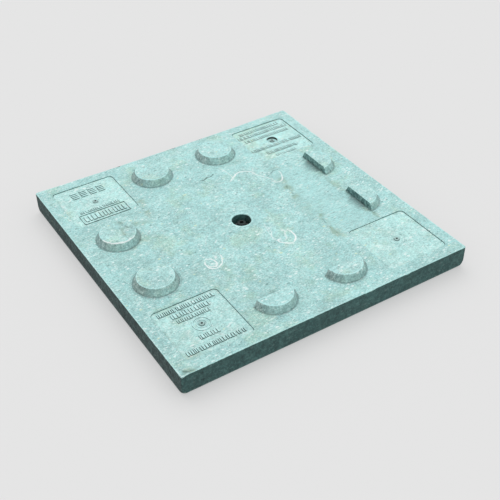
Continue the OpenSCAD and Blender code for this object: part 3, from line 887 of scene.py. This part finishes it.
# ------------------------------------------------------------------ screws
def button_screw(B, cx, cy, z_top, rh, k, af, depth, rs, z_end, pitch=None, thread_z=None, n=48, dusty=0.0):
    """Button-head socket screw, head up; threads are cut where pitch is given."""
    t = np.linspace(0, 2 * math.pi, n, endpoint=False)
    C = np.stack([np.cos(t), np.sin(t)], 1)
    zb = z_top - k
    hexr = (af / 2) / np.cos((t + math.pi / 6) % (math.pi / 3) - math.pi / 6)
    prof = []
    if pitch:
        z0, z1 = thread_z
        steps = int((z1 - z0) / pitch * 7)
        d = 0.54 * pitch
        for i in range(steps + 1):
            z = z0 + (z1 - z0) * i / steps
            ph = ((z / pitch - t / (2 * math.pi)) % 1.0)
            tri = np.abs(ph * 2 - 1)
            runout = min(1, (z1 - z) / (1.2 * pitch))
            tip = min(1, (z - z0) / (1.0 * pitch))
            r = rs - d * np.clip((tri - 0.12) / 0.76, 0, 1) * runout - (1 - tip) * d * 0.9
            prof.append((np.maximum(r, rs - d), np.full(n, z)))
        if z1 < zb - 0.8:
            prof.append((np.full(n, rs), np.full(n, zb - 0.6)))
            prof.append((np.full(n, rs), np.full(n, zb)))
        else:
            prof.append((np.full(n, rs), np.full(n, zb)))
    else:
        prof += [(np.full(n, rs - 0.8), np.full(n, z_end)), (np.full(n, rs - 0.2), np.full(n, z_end + 0.5)), (np.full(n, rs), np.full(n, z_end + 1.0))]
        for z in np.arange(z_end + 3.0, zb - 2.0, 3.0):
            prof += [(np.full(n, rs), np.full(n, z))]
        prof += [(np.full(n, rs), np.full(n, zb))]
    base0 = prof[0]
    prof += [(np.full(n, rh - 0.35), np.full(n, zb)), (np.full(n, rh - 0.05), np.full(n, zb + 0.2)), (np.full(n, rh), np.full(n, zb + 0.55))]
    rt = max(af * 0.5 / math.cos(math.pi / 6) + 0.7, rh * 0.5)
    for a in np.linspace(8, 88, 9):
        s = math.radians(a)
        prof.append((np.full(n, rt + (rh - rt) * math.cos(s)), np.full(n, zb + 0.55 + (k - 0.6) * math.sin(s))))
    prof.append((np.full(n, rt - 0.25), np.full(n, z_top - 0.03)))
    hz = z_top - 0.03
    prof.append((hexr + 0.28, np.full(n, hz - 0.05)))
    prof.append((hexr, np.full(n, hz - 0.4)))
    prof.append((hexr, np.full(n, z_top - depth)))
    R = np.array([np.column_stack([cx + C[:, 0] * r, cy + C[:, 1] * r, z]) for r, z in prof])
    # head rim marked for wear plus painted highlight; painted shade deep in the hex socket
    wear_hl = np.zeros((len(prof), n))
    wear_hl[-5:-2] = 0.8
    shade_amt = np.zeros((len(prof), n))
    shade_amt[-1] = 1.0
    shade_amt[-2] = 0.35
    B.rings(R, edge=wear_hl, cav=shade_amt, dirt=dusty)
    fl = R[-1]
    c = B.add(np.vstack([fl, [[cx, cy, z_top - depth - af * 0.16]]]), cav=1.0, dirt=dusty)
    B.t.append(np.array([[c + i, c + (i + 1) % n, c + n] for i in range(n)]))
    e = R[0]
    B.add(e, ngons=[list(range(n))[::-1]])


# ------------------------------------------------------------------ materials
class Tree:
    def __init__(self, name):
        self.mat = bpy.data.materials.new(name)
        self.mat.use_nodes = True
        self.t = self.mat.node_tree
        self.t.nodes.clear()
        self.out = self.t.nodes.new("ShaderNodeOutputMaterial")
        self.bsdf = self.t.nodes.new("ShaderNodeBsdfPrincipled")
        self.t.links.new(self.bsdf.outputs[0], self.out.inputs[0])

    def put(self, socket, v):
        if isinstance(v, bpy.types.NodeSocket):
            self.t.links.new(v, socket)
        elif hasattr(socket.default_value, "__len__"):
            n = len(socket.default_value)
            if not hasattr(v, "__len__"):
                v = (v,) * 3
            socket.default_value = tuple(v)[:n] + ((1.0,) if n == 4 and len(v) == 3 else ())
        else:
            socket.default_value = v

    def node(self, kind, ins=(), **props):
        n = self.t.nodes.new(kind)
        for k, v in props.items():
            setattr(n, k, v)
        for i, v in (ins.items() if isinstance(ins, dict) else enumerate(ins)):
            if v is not None:
                self.put(n.inputs[i], v)
        return n

    def m(self, op, a, b=None, c=None, clamp=False):
        return self.node("ShaderNodeMath", [a, b, c], operation=op, use_clamp=clamp).outputs[0]

    def rng(self, v, a, b, c=0.0, d=1.0, smooth=True):
        n = self.node("ShaderNodeMapRange", [v, a, b, c, d], interpolation_type="SMOOTHSTEP" if smooth else "LINEAR")
        return n.outputs[0]

    def mix(self, f, a, b, kind="MIX"):
        n = self.node("ShaderNodeMix", data_type="RGBA", blend_type=kind, clamp_factor=True)
        self.put(n.inputs[0], f)
        self.put(n.inputs[6], a)
        self.put(n.inputs[7], b)
        return n.outputs[2]

    def place(self, vec, scale=(1, 1, 1), rot=(0, 0, 0), loc=(0, 0, 0)):
        return self.node("ShaderNodeMapping", [vec, loc, rot, scale]).outputs[0]

    def noise(self, vec, cell, detail=2.0, rough=0.5, dist=0.0):
        n = self.node("ShaderNodeTexNoise", {"Vector": vec, "Scale": 1.0 / cell, "Detail": detail, "Roughness": rough, "Distortion": dist})
        return n.outputs[0]

    def vor(self, vec, cell, feature="F1", rand=1.0):
        n = self.node("ShaderNodeTexVoronoi", {"Vector": vec, "Scale": 1.0 / cell, "Randomness": rand}, feature=feature)
        return n

    def attr(self, name):
        return self.node("ShaderNodeAttribute", attribute_name=name, attribute_type="GEOMETRY").outputs["Fac"]

    def ramp(self, v, stops):
        n = self.node("ShaderNodeValToRGB", [v])
        r = n.color_ramp
        while len(r.elements) > 1:
            r.elements.remove(r.elements[-1])
        r.elements[0].position, r.elements[0].color = stops[0][0], tuple(stops[0][1]) + (1,)
        for p, c in stops[1:]:
            r.elements.new(p).color = tuple(c) + (1,)
        return n.outputs[0]

    def mm(self):
        c = self.node("ShaderNodeTexCoord").outputs["Object"]
        return self.node("ShaderNodeVectorMath", [c, (1000.0, 1000.0, 1000.0)], operation="MULTIPLY").outputs[0]

    def bump(self, h, strength, dist, under=None):
        n = self.node("ShaderNodeBump", {"Strength": strength, "Distance": dist, "Height": h})
        if under is not None:
            self.t.links.new(under, n.inputs["Normal"])
        return n.outputs[0]

    def done(self, color, rough, normal=None, metal=0.0, spec=0.5):
        self.put(self.bsdf.inputs["Base Color"], color)
        self.put(self.bsdf.inputs["Roughness"], rough)
        self.put(self.bsdf.inputs["Metallic"], metal)
        self.put(self.bsdf.inputs["Specular IOR Level"], spec)
        if normal is not None:
            self.t.links.new(normal, self.bsdf.inputs["Normal"])
        return self.mat


def lin(*c):
    return tuple(((v / 255) / 12.92 if v <= 10 else (((v / 255) + 0.055) / 1.055) ** 2.4) for v in c)


def plastic(name, top, mid, side, seed=0.0, fleck=1.0, cut=None):
    """Pressed recycled plastic: colour by facing, pale on upward faces (dust plus painted sheen) and dark on walls
    (dark plastic plus painted shade), chopped flakes, scuffs and dirt.
    """
    T_ = Tree(name)
    P = T_.mm()
    P = T_.place(P, loc=(seed * 37.0, seed * 53.0, seed * 11.0))
    geo = T_.node("ShaderNodeNewGeometry").outputs["Normal"]
    nxyz = T_.node("ShaderNodeSeparateXYZ", [geo]).outputs
    nz = nxyz[2]
    n60 = T_.noise(P, 70, 3, 0.55)
    n14 = T_.noise(P, 15, 3, 0.6, 0.4)
    n4 = T_.noise(P, 4.6, 3, 0.65)
    n1 = T_.noise(P, 1.5, 2, 0.6)
    # colour by facing: upward faces get dust and painted sheen, walls get dark plastic and painted shade, slopes lie
    # between
    dust = T_.m("ADD", nz, T_.m("MULTIPLY", T_.m("SUBTRACT", n14, 0.5), 0.08))
    col = T_.ramp(dust, [(0.0, side), (0.10, side), (0.46, mid), (0.80, tuple(0.80 * a for a in top)), (0.97, top)])
    up = T_.rng(nz, 0.15, 0.85)
    # walls that look towards -Y are painted greener and lighter: painted light from the front
    lit_front_walls = T_.m("MULTIPLY", T_.rng(nxyz[1], -0.2, -0.9), T_.m("SUBTRACT", 1.0, up))
    col = T_.mix(lit_front_walls, col, T_.mix(1.0, col, (1.28, 1.62, 1.58), "MULTIPLY"))
    # brightness mottling, and a painted light gradient that gets lighter towards the back right
    v = T_.m("ADD", T_.m("MULTIPLY", T_.m("SUBTRACT", n60, 0.5), 0.50), T_.m("MULTIPLY", T_.m("SUBTRACT", n14, 0.5), 0.62))
    v = T_.m("ADD", v, T_.m("MULTIPLY", T_.m("SUBTRACT", n4, 0.5), 1.15))
    v = T_.m("ADD", v, T_.m("MULTIPLY", T_.m("SUBTRACT", n1, 0.5), 0.30))
    pos = T_.node("ShaderNodeSeparateXYZ", [P]).outputs
    v = T_.m("ADD", v, T_.m("MULTIPLY", T_.m("ADD", pos[0], pos[1]), 0.00009))
    v = T_.m("ADD", v, 0.93)
    col = T_.mix(1.0, col, T_.node("ShaderNodeCombineColor", [v, v, v]).outputs[0], "MULTIPLY")
    hue = T_.rng(T_.noise(P, 40, 2, 0.5), 0.35, 0.65)
    col = T_.mix(T_.m("MULTIPLY", hue, 0.6), col, T_.mix(1.0, col, (1.06, 1.0, 0.975), "MULTIPLY"))
    # chopped flakes lying in several directions
    warp = T_.node("ShaderNodeVectorMath", [T_.node("ShaderNodeTexNoise", {"Vector": P, "Scale": 0.22, "Detail": 1.0}).outputs["Color"], (1.1, 1.1, 1.1)], operation="MULTIPLY").outputs[0]
    fine, broad = None, None
    for i, (ang, w, l, keep) in enumerate([(0.35, 2.9, 9.5, 0.48), (1.30, 2.7, 8.5, 0.50), (2.25, 2.5, 8.0, 0.48), (2.85, 4.6, 15.0, 0.70), (0.9, 4.9, 13.0, 0.72)]):
        Q = T_.place(P, scale=(1 / l, 1 / w, 1 / w), rot=(0, 0, ang), loc=(i * 5.3, i * 9.1, 0))
        Q = T_.node("ShaderNodeVectorMath", [Q, warp], operation="ADD").outputs[0]
        vo = T_.vor(Q, 1.0)
        pick = T_.node("ShaderNodeSeparateColor", [vo.outputs["Color"]]).outputs
        size = T_.m("ADD", 0.14, T_.m("MULTIPLY", pick[1], 0.26))
        a = T_.m("MULTIPLY", T_.m("GREATER_THAN", pick[0], keep), T_.rng(T_.m("SUBTRACT", vo.outputs["Distance"], size), 0.06, -0.05))
        a = T_.m("MULTIPLY", a, T_.m("ADD", 0.30, T_.m("MULTIPLY", pick[2], 0.70)))
        if i < 3:
            fine = a if fine is None else T_.m("MAXIMUM", fine, a)
        else:
            broad = a if broad is None else T_.m("MAXIMUM", broad, a)
    patch = T_.rng(T_.noise(P, 34, 3, 0.6), 0.36, 0.62, 0.45, 1.0)
    mask = T_.m("MAXIMUM", T_.m("MULTIPLY", fine, T_.m("MULTIPLY", patch, 0.95)), T_.m("MULTIPLY", broad, 0.75))
    fl = T_.m("MULTIPLY", mask, T_.m("ADD", 0.46, T_.m("MULTIPLY", up, 0.54 * fleck)), clamp=True)
    light = T_.mix(1.0, col, (1.55, 1.40, 1.38), "MULTIPLY")
    light = T_.mix(T_.m("MULTIPLY", up, 0.8), light, (0.79, 0.965, 0.945))
    col = T_.mix(fl, col, light)
    # curled light strands in patches
    strand = T_.noise(T_.place(T_.node("ShaderNodeVectorMath", [P, T_.node("ShaderNodeVectorMath", [warp, (9.0, 9.0, 9.0)], operation="MULTIPLY").outputs[0]], operation="ADD").outputs[0], loc=(31, 7, 3)), 13, 1, 0.4)
    ridge = T_.rng(T_.m("ABSOLUTE", T_.m("SUBTRACT", strand, 0.5)), 0.030, 0.008)
    ridge = T_.m("MULTIPLY", ridge, T_.rng(T_.noise(P, 30, 3, 0.6, 0.7), 0.50, 0.60))
    ridge = T_.m("MULTIPLY", ridge, T_.rng(n4, 0.36, 0.62, 0.2, 1.0))
    col = T_.mix(T_.m("MULTIPLY", T_.m("MULTIPLY", ridge, up), 0.75), col, (0.80, 0.96, 0.94))
    # olive film in broad patches
    film = T_.rng(T_.noise(T_.place(P, loc=(210, 95, 0)), 85, 4, 0.6), 0.53, 0.66)
    col = T_.mix(T_.m("MULTIPLY", T_.m("MULTIPLY", film, up), 0.75), col, T_.mix(1.0, col, (1.0, 0.955, 0.86), "MULTIPLY"))
    # sparse bright chips, cream ones and dark ones
    vo = T_.vor(T_.place(T_.node("ShaderNodeVectorMath", [P, T_.node("ShaderNodeVectorMath", [warp, (2.5, 2.5, 2.5)], operation="MULTIPLY").outputs[0]], operation="ADD").outputs[0], loc=(3, 8, 1), scale=(0.72, 1.25, 1.0), rot=(0, 0, 0.6)), 8.5)
    pick = T_.node("ShaderNodeSeparateColor", [vo.outputs["Color"]]).outputs
    chip = T_.rng(T_.m("SUBTRACT", vo.outputs["Distance"], T_.m("MULTIPLY", T_.m("MULTIPLY", pick[1], patch), 0.46)), 0.10, -0.06)
    bright = T_.m("MULTIPLY", chip, T_.m("GREATER_THAN", pick[0], 0.66))
    cream = T_.m("MULTIPLY", chip, T_.m("LESS_THAN", pick[0], 0.025))
    dark = T_.m("MULTIPLY", chip, T_.m("MULTIPLY", T_.m("LESS_THAN", pick[0], 0.17), T_.m("GREATER_THAN", pick[0], 0.04)))
    col = T_.mix(T_.m("MULTIPLY", bright, T_.m("ADD", 0.035, T_.m("MULTIPLY", up, 0.72))), col, (0.84, 0.985, 0.965))
    col = T_.mix(T_.m("MULTIPLY", cream, T_.m("ADD", 0.12, T_.m("MULTIPLY", up, 0.5))), col, (0.78, 0.88, 0.58))
    col = T_.mix(T_.m("MULTIPLY", dark, 0.5), col, T_.mix(1.0, col, (0.30, 0.36, 0.36), "MULTIPLY"))
    # wear with painted highlights, dirt, scuffs and painted shade, all painted on the mesh
    edge = T_.m("MULTIPLY", T_.attr("edge"), T_.rng(T_.m("ADD", n4, T_.m("MULTIPLY", n14, 0.6)), 0.50, 0.90, 0.30, 1.0))
    worn_and_lit = tuple(min(1.0, 1.20 * a + 0.09) for a in top)
    col = T_.mix(T_.m("MULTIPLY", edge, T_.m("ADD", 0.50, T_.m("MULTIPLY", up, 0.45)), clamp=True), col, worn_and_lit)
    if cut:
        c = T_.m("MULTIPLY", T_.attr("cut"), T_.m("SUBTRACT", 1.0, up))
        col = T_.mix(c, col, T_.mix(1.0, cut, T_.node("ShaderNodeCombineColor", [v, v, v]).outputs[0], "MULTIPLY"))
    zone = T_.attr("zone")
    S = T_.place(P, scale=(1 / 26, 1 / 3.2, 0), rot=(0, 0, 0.12))
    streak = T_.noise(S, 1.0, 4, 0.62, 1.6)
    col = T_.mix(T_.m("MULTIPLY", T_.m("MULTIPLY", zone, 0.85), T_.rng(streak, 0.42, 0.64)), col, tuple(min(1, 1.10 * a + 0.02) for a in top))
    col = T_.mix(T_.m("MULTIPLY", T_.m("MULTIPLY", zone, 0.7), T_.rng(streak, 0.50, 0.36)), col, tuple(0.74 * a for a in top))
    dt = T_.m("MULTIPLY", T_.attr("dirt"), T_.rng(T_.m("ADD", n4, T_.m("MULTIPLY", n14, 0.8)), 0.66, 1.06, 0.25, 1.0))
    col = T_.mix(T_.m("MULTIPLY", dt, 0.85), col, T_.mix(1.0, col, (0.66, 0.58, 0.46), "MULTIPLY"))
    # pale scuffs, and a painted rim highlight on the left-back stud
    sc = T_.m("MULTIPLY", T_.attr("scuff"), T_.rng(T_.m("ADD", n1, T_.m("MULTIPLY", n4, 0.5)), 0.40, 0.66, 0.5, 1.0))
    col = T_.mix(T_.m("MULTIPLY", sc, 0.96), col, (0.93, 0.99, 0.985))
    dk = T_.attr("dark")
    col = T_.mix(T_.m("MULTIPLY", dk, 0.85), col, lin(64, 84, 82))
    # painted shade from the mesh darkens corners, creases, recesses and gaps; negative values lighten as painted light
    cav = T_.attr("cav")
    shade_amt = T_.m("SUBTRACT", 1.0, T_.m("MULTIPLY", cav, 0.66))
    col = T_.mix(1.0, col, T_.node("ShaderNodeCombineColor", [shade_amt, shade_amt, shade_amt]).outputs[0], "MULTIPLY")
    # flow lines on the walls
    S = T_.place(P, scale=(1 / 30, 1 / 30, 1 / 6.0))
    flow = T_.noise(S, 1.0, 4, 0.65, 0.8)
    wall = T_.m("SUBTRACT", 1.0, up)
    col = T_.mix(T_.m("MULTIPLY", wall, T_.rng(flow, 0.46, 0.70, 0, 0.6)), col, T_.mix(1.0, col, (1.7, 1.55, 1.5), "MULTIPLY"))
    fx = T_.m("MAXIMUM", T_.m("MULTIPLY", T_.rng(nxyz[0], -0.4, -0.95), wall), T_.m("MULTIPLY", lit_front_walls, 0.45))
    rag = T_.noise(T_.place(P, scale=(1 / 9, 1 / 7, 1 / 13)), 1.0, 4, 0.7, 1.0)
    col = T_.mix(T_.m("MULTIPLY", fx, T_.rng(rag, 0.50, 0.60, 0, 0.9)), col, T_.mix(1.0, col, (2.0, 1.75, 1.7), "MULTIPLY"))
    col = T_.mix(T_.m("MULTIPLY", fx, T_.rng(rag, 0.49, 0.41, 0, 0.85)), col, T_.mix(1.0, col, (0.42, 0.5, 0.5), "MULTIPLY"))
    rough = T_.m("ADD", 0.62, T_.m("MULTIPLY", n4, 0.25))
    rough = T_.m("SUBTRACT", rough, T_.m("MULTIPLY", mask, 0.10))
    h = T_.m("ADD", T_.m("MULTIPLY", n4, 1.2), T_.m("MULTIPLY", n1, 0.45))
    h = T_.m("ADD", h, T_.m("MULTIPLY", n14, 0.9))
    h = T_.m("ADD", h, T_.m("MULTIPLY", mask, 0.4))
    h = T_.m("SUBTRACT", h, T_.m("MULTIPLY", dk, 1.2))
    h = T_.m("SUBTRACT", h, T_.m("MULTIPLY", sc, 0.25))
    return T_.done(col, rough, T_.bump(h, 0.7, 0.0010), spec=0.35)


def metal(name, base, rough, grime, seed=0.0, brushed=(1, 1, 1), spots=0.5, spot_col=(0.25, 0.13, 0.06), dust=0.0):
    T_ = Tree(name)
    P = T_.place(T_.mm(), loc=(seed * 31, seed * 17, seed * 7))
    a = T_.noise(P, 6.0, 3, 0.6)
    b = T_.noise(P, 1.4, 2, 0.6)
    br = T_.noise(T_.place(P, scale=brushed), 1.0, 3, 0.6)
    v = T_.m("ADD", T_.m("MULTIPLY", T_.m("SUBTRACT", a, 0.5), 0.35), T_.m("MULTIPLY", T_.m("SUBTRACT", br, 0.5), 0.25))
    v = T_.m("ADD", v, 1.0)
    col = T_.mix(1.0, base, T_.node("ShaderNodeCombineColor", [v, v, v]).outputs[0], "MULTIPLY")
    g = T_.rng(T_.m("ADD", a, T_.m("MULTIPLY", b, 0.4)), 0.62, 0.92)
    col = T_.mix(T_.m("MULTIPLY", g, grime), col, (0.10, 0.095, 0.085))
    s = T_.rng(T_.m("ADD", T_.noise(P, 9.0, 4, 0.7), T_.m("MULTIPLY", b, 0.25)), 0.66, 0.80)
    col = T_.mix(T_.m("MULTIPLY", s, spots), col, spot_col)
    lay = 0.0
    if dust:
        nz = T_.node("ShaderNodeSeparateXYZ", [T_.node("ShaderNodeNewGeometry").outputs["Normal"]]).outputs[2]
        lay = T_.m("MULTIPLY", T_.rng(T_.m("ADD", nz, T_.m("MULTIPLY", T_.m("SUBTRACT", a, 0.5), 0.8)), 0.15, 0.75), T_.m("ADD", dust, T_.attr("dirt")), clamp=True)
        col = T_.mix(lay, col, (0.40, 0.58, 0.56))
    # painted shade from the mesh darkens recesses
    cav = T_.attr("cav")
    col = T_.mix(T_.m("MULTIPLY", cav, 0.85), col, (0.02, 0.022, 0.022))
    met = T_.m("SUBTRACT", 1.0, T_.m("MULTIPLY", T_.m("MAXIMUM", T_.m("MAXIMUM", T_.m("MULTIPLY", g, grime), lay), T_.m("MULTIPLY", s, spots)), 0.95), clamp=True)
    r = T_.m("ADD", rough, T_.m("MULTIPLY", T_.m("ADD", g, s), 0.22), clamp=True)
    h = T_.m("ADD", T_.m("MULTIPLY", b, 0.6), T_.m("MULTIPLY", br, 0.7))
    h = T_.m("ADD", h, T_.m("MULTIPLY", s, 0.6))
    return T_.done(col, r, T_.bump(h, 0.35, 0.0003), metal=met, spec=0.5)


def rubber(name):
    T_ = Tree(name)
    P = T_.mm()
    a = T_.noise(P, 5.0, 3, 0.6)
    b = T_.noise(P, 0.8, 2, 0.6)
    col = T_.mix(T_.rng(a, 0.35, 0.75), (0.012, 0.013, 0.013), (0.045, 0.047, 0.045))
    col = T_.mix(T_.m("MULTIPLY", T_.rng(T_.noise(P, 11, 3, 0.6), 0.5, 0.8), 0.5), col, (0.16, 0.17, 0.15))
    h = T_.m("ADD", T_.m("MULTIPLY", a, 0.5), T_.m("MULTIPLY", b, 0.5))
    return T_.done(col, T_.m("ADD", 0.6, T_.m("MULTIPLY", a, 0.25)), T_.bump(h, 0.4, 0.0003), spec=0.4)


# colours by facing: the pale top is dust plus painted sheen, the dark side is dark plastic plus painted shade; the stud
# and plate colours below split the same way
TOP_DUST_AND_SHEEN = (0.420, 0.735, 0.725)
MID = (0.300, 0.500, 0.490)
SIDE_DARK_AND_SHADE = (0.030, 0.064, 0.0635)
m_slab = plastic("slab_recycled_plastic", TOP_DUST_AND_SHEEN, MID, SIDE_DARK_AND_SHADE)
m_stud = plastic("stud_recycled_plastic", (0.435, 0.745, 0.735), (0.300, 0.440, 0.436), (0.11, 0.18, 0.175), 3.0, cut=(0.142, 0.270, 0.264))
m_plate = plastic("plate_recycled_plastic", (0.470, 0.785, 0.765), (0.16, 0.28, 0.27), (0.07, 0.12, 0.115), 7.0, fleck=1.1)
m_zinc = metal("zinc_plated_steel", (0.55, 0.57, 0.58), 0.34, 0.55, 1.0, (0.2, 0.2, 2.5), 0.25)
m_screw = metal("weathered_zinc_screw", (0.085, 0.130, 0.128), 0.55, 0.85, 2.0, (0.6, 0.6, 3.0), 0.25, (0.06, 0.075, 0.07), dust=0.50)
m_dark = metal("dark_weathered_steel", (0.030, 0.038, 0.042), 0.66, 0.5, 4.0, (0.5, 0.5, 3.0), 0.30, (0.032, 0.030, 0.026), dust=0.05)
m_bar = metal("reinforcing_steel", (0.20, 0.19, 0.18), 0.55, 0.6, 5.0, (0.05, 0.4, 0.4), 0.8, (0.23, 0.10, 0.045))
m_brass = metal("insert_brass", (0.78, 0.56, 0.26), 0.32, 0.5, 6.0, (0.4, 0.4, 2.0), 0.2, (0.12, 0.16, 0.10))
m_rubber = rubber("seal_rubber")

# ------------------------------------------------------------------ pieces
RIDES = {"lifting_screw": "lifting_pin", "stop_washer": "lifting_pin", "lifting_head": "lifting_pin", "head_pin": "lifting_pin"}


def put(ob, node):
    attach(ob, RIDES.get(node, "cover"))
    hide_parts(node)
    return ob


put(slab_mesh(m_slab), "slab")
for i, (k, (x, y)) in enumerate(FULL.items()):
    put(full_stud(k + "_worn", x, y, m_stud, 500 + 10 * i), k)
for i, (k, (x, y, a)) in enumerate(HALFS.items()):
    put(half_stud(k + "_worn", x, y, a, m_stud, 600 + 10 * i), k)
for k, kx, ky, pit, fn, sd in [("front_left", -1, -1, False, marks_fl, 700), ("back_left", -1, 1, False, marks_bl, 710),
                               ("back_right", 1, 1, True, marks_br, 720), ("front_right", 1, -1, False, marks_fr, 730)]:
    put(plate("marked_plate_" + k, kx, ky, m_plate, pit, fn, sd), "marking_plate_" + k)

B = Build()
for kx, ky in CORN:
    d = -3.6 if (kx, ky) == (1, 1) else 0.0
    button_screw(B, kx * PP, ky * PP, 60.0 + d, 7.0, 4.4, 5.0, 2.6, 3.95, 25.6 + d, 1.25, (25.6 + d, 50.0 + d), dusty=0.75 if d else 0.55)
put(B.obj("plate_screws_threaded", m_screw, angle=40), "plate_screws")
B = Build()
button_screw(B, 0, 0, 50.0, 14.0, 8.8, 10.0, 5.2, 8.0, 2.0, n=72)
put(B.obj("lifting_screw_button_head", m_dark, angle=40), "lifting_screw")

KEEP = {"screw_inserts": m_brass, "reinforcing_bars_lower": m_bar, "reinforcing_bars_upper": m_bar, "spreader_washer": m_zinc, "guide_bush": m_zinc,
        "wiper_seal": m_rubber, "stop_washer": m_zinc, "lifting_head": m_dark, "head_pin": m_zinc}
SLOTS = {"screw_inserts": "insert_brass", "reinforcing_bars_lower": "dark_steel", "reinforcing_bars_upper": "dark_steel", "spreader_washer": "zinc_steel",
         "guide_bush": "zinc_steel", "wiper_seal": "seal_rubber", "stop_washer": "zinc_steel", "lifting_head": "dark_steel", "head_pin": "zinc_steel"}
for k, mt in KEEP.items():
    ob = bpy.data.objects[k]
    for s in ob.material_slots:
        s.link = "OBJECT"
        s.material = mt

# ------------------------------------------------------------------ stage
fl = bpy.data.meshes.new("floor")
fl.from_pydata([(-30, -30, -0.0006), (30, -30, -0.0006), (30, 30, -0.0006), (-30, 30, -0.0006)], [], [(0, 1, 2, 3)])
floor = bpy.data.objects.new("floor", fl)
bpy.context.scene.collection.objects.link(floor)
T_ = Tree("pale_floor")
T_.done((0.36, 0.36, 0.36), 1.0, spec=0.0)
T_.bsdf.inputs["Emission Color"].default_value = (1.0, 1.0, 1.0, 1.0)
T_.bsdf.inputs["Emission Strength"].default_value = 0.43
fl.materials.append(T_.mat)

w = bpy.data.worlds.new("studio")
bpy.context.scene.world = w
w.use_nodes = True
bg = w.node_tree.nodes["Background"]
bg.inputs[0].default_value = (1.0, 1.0, 1.0, 1.0)
bg.inputs[1].default_value = 0.66


def sun(name, az, el, power, angle, col=(1, 1, 1)):
    """A soft sun coming from azimuth az (0 is -Y, 90 is +X) and elevation el."""
    d = bpy.data.lights.new(name, "SUN")
    d.energy, d.angle, d.color = power, math.radians(angle), col
    o = bpy.data.objects.new(name, d)
    a, e = math.radians(az), math.radians(el)
    back = Vector((math.sin(a) * math.cos(e), -math.cos(a) * math.cos(e), math.sin(e)))
    o.rotation_mode = "QUATERNION"
    o.rotation_quaternion = (-back).to_track_quat("-Z", "Y")
    o.location = back * 4
    bpy.context.scene.collection.objects.link(o)
    return o


sun("key_from_behind", 160, 60, 1.05, 60)
sun("fill_from_front", 20, 28, 0.22, 60)

cd = bpy.data.cameras.new("camera")
cam = bpy.data.objects.new("camera", cd)
bpy.context.scene.collection.objects.link(cam)
cd.sensor_fit, cd.sensor_width, cd.lens = "HORIZONTAL", 36.0, 64.80
cd.clip_start, cd.clip_end = 0.05, 60.0
cd.dof.use_dof = False
right, down, ahead = (0.8433053, -0.5373355, -0.0103322), (-0.3422576, -0.5221249, -0.7811820), (0.4143621, 0.6623112, -0.6242179)
cam.matrix_world = Matrix(((right[0], -down[0], -ahead[0], -0.96452), (right[1], -down[1], -ahead[1], -1.58079),
                           (right[2], -down[2], -ahead[2], 1.43720), (0, 0, 0, 1)))
sc = bpy.context.scene
sc.camera = cam
sc.view_settings.view_transform = "Standard"
sc.view_settings.look = "None"
sc.view_settings.exposure = 0.0
sc.view_settings.gamma = 1.0
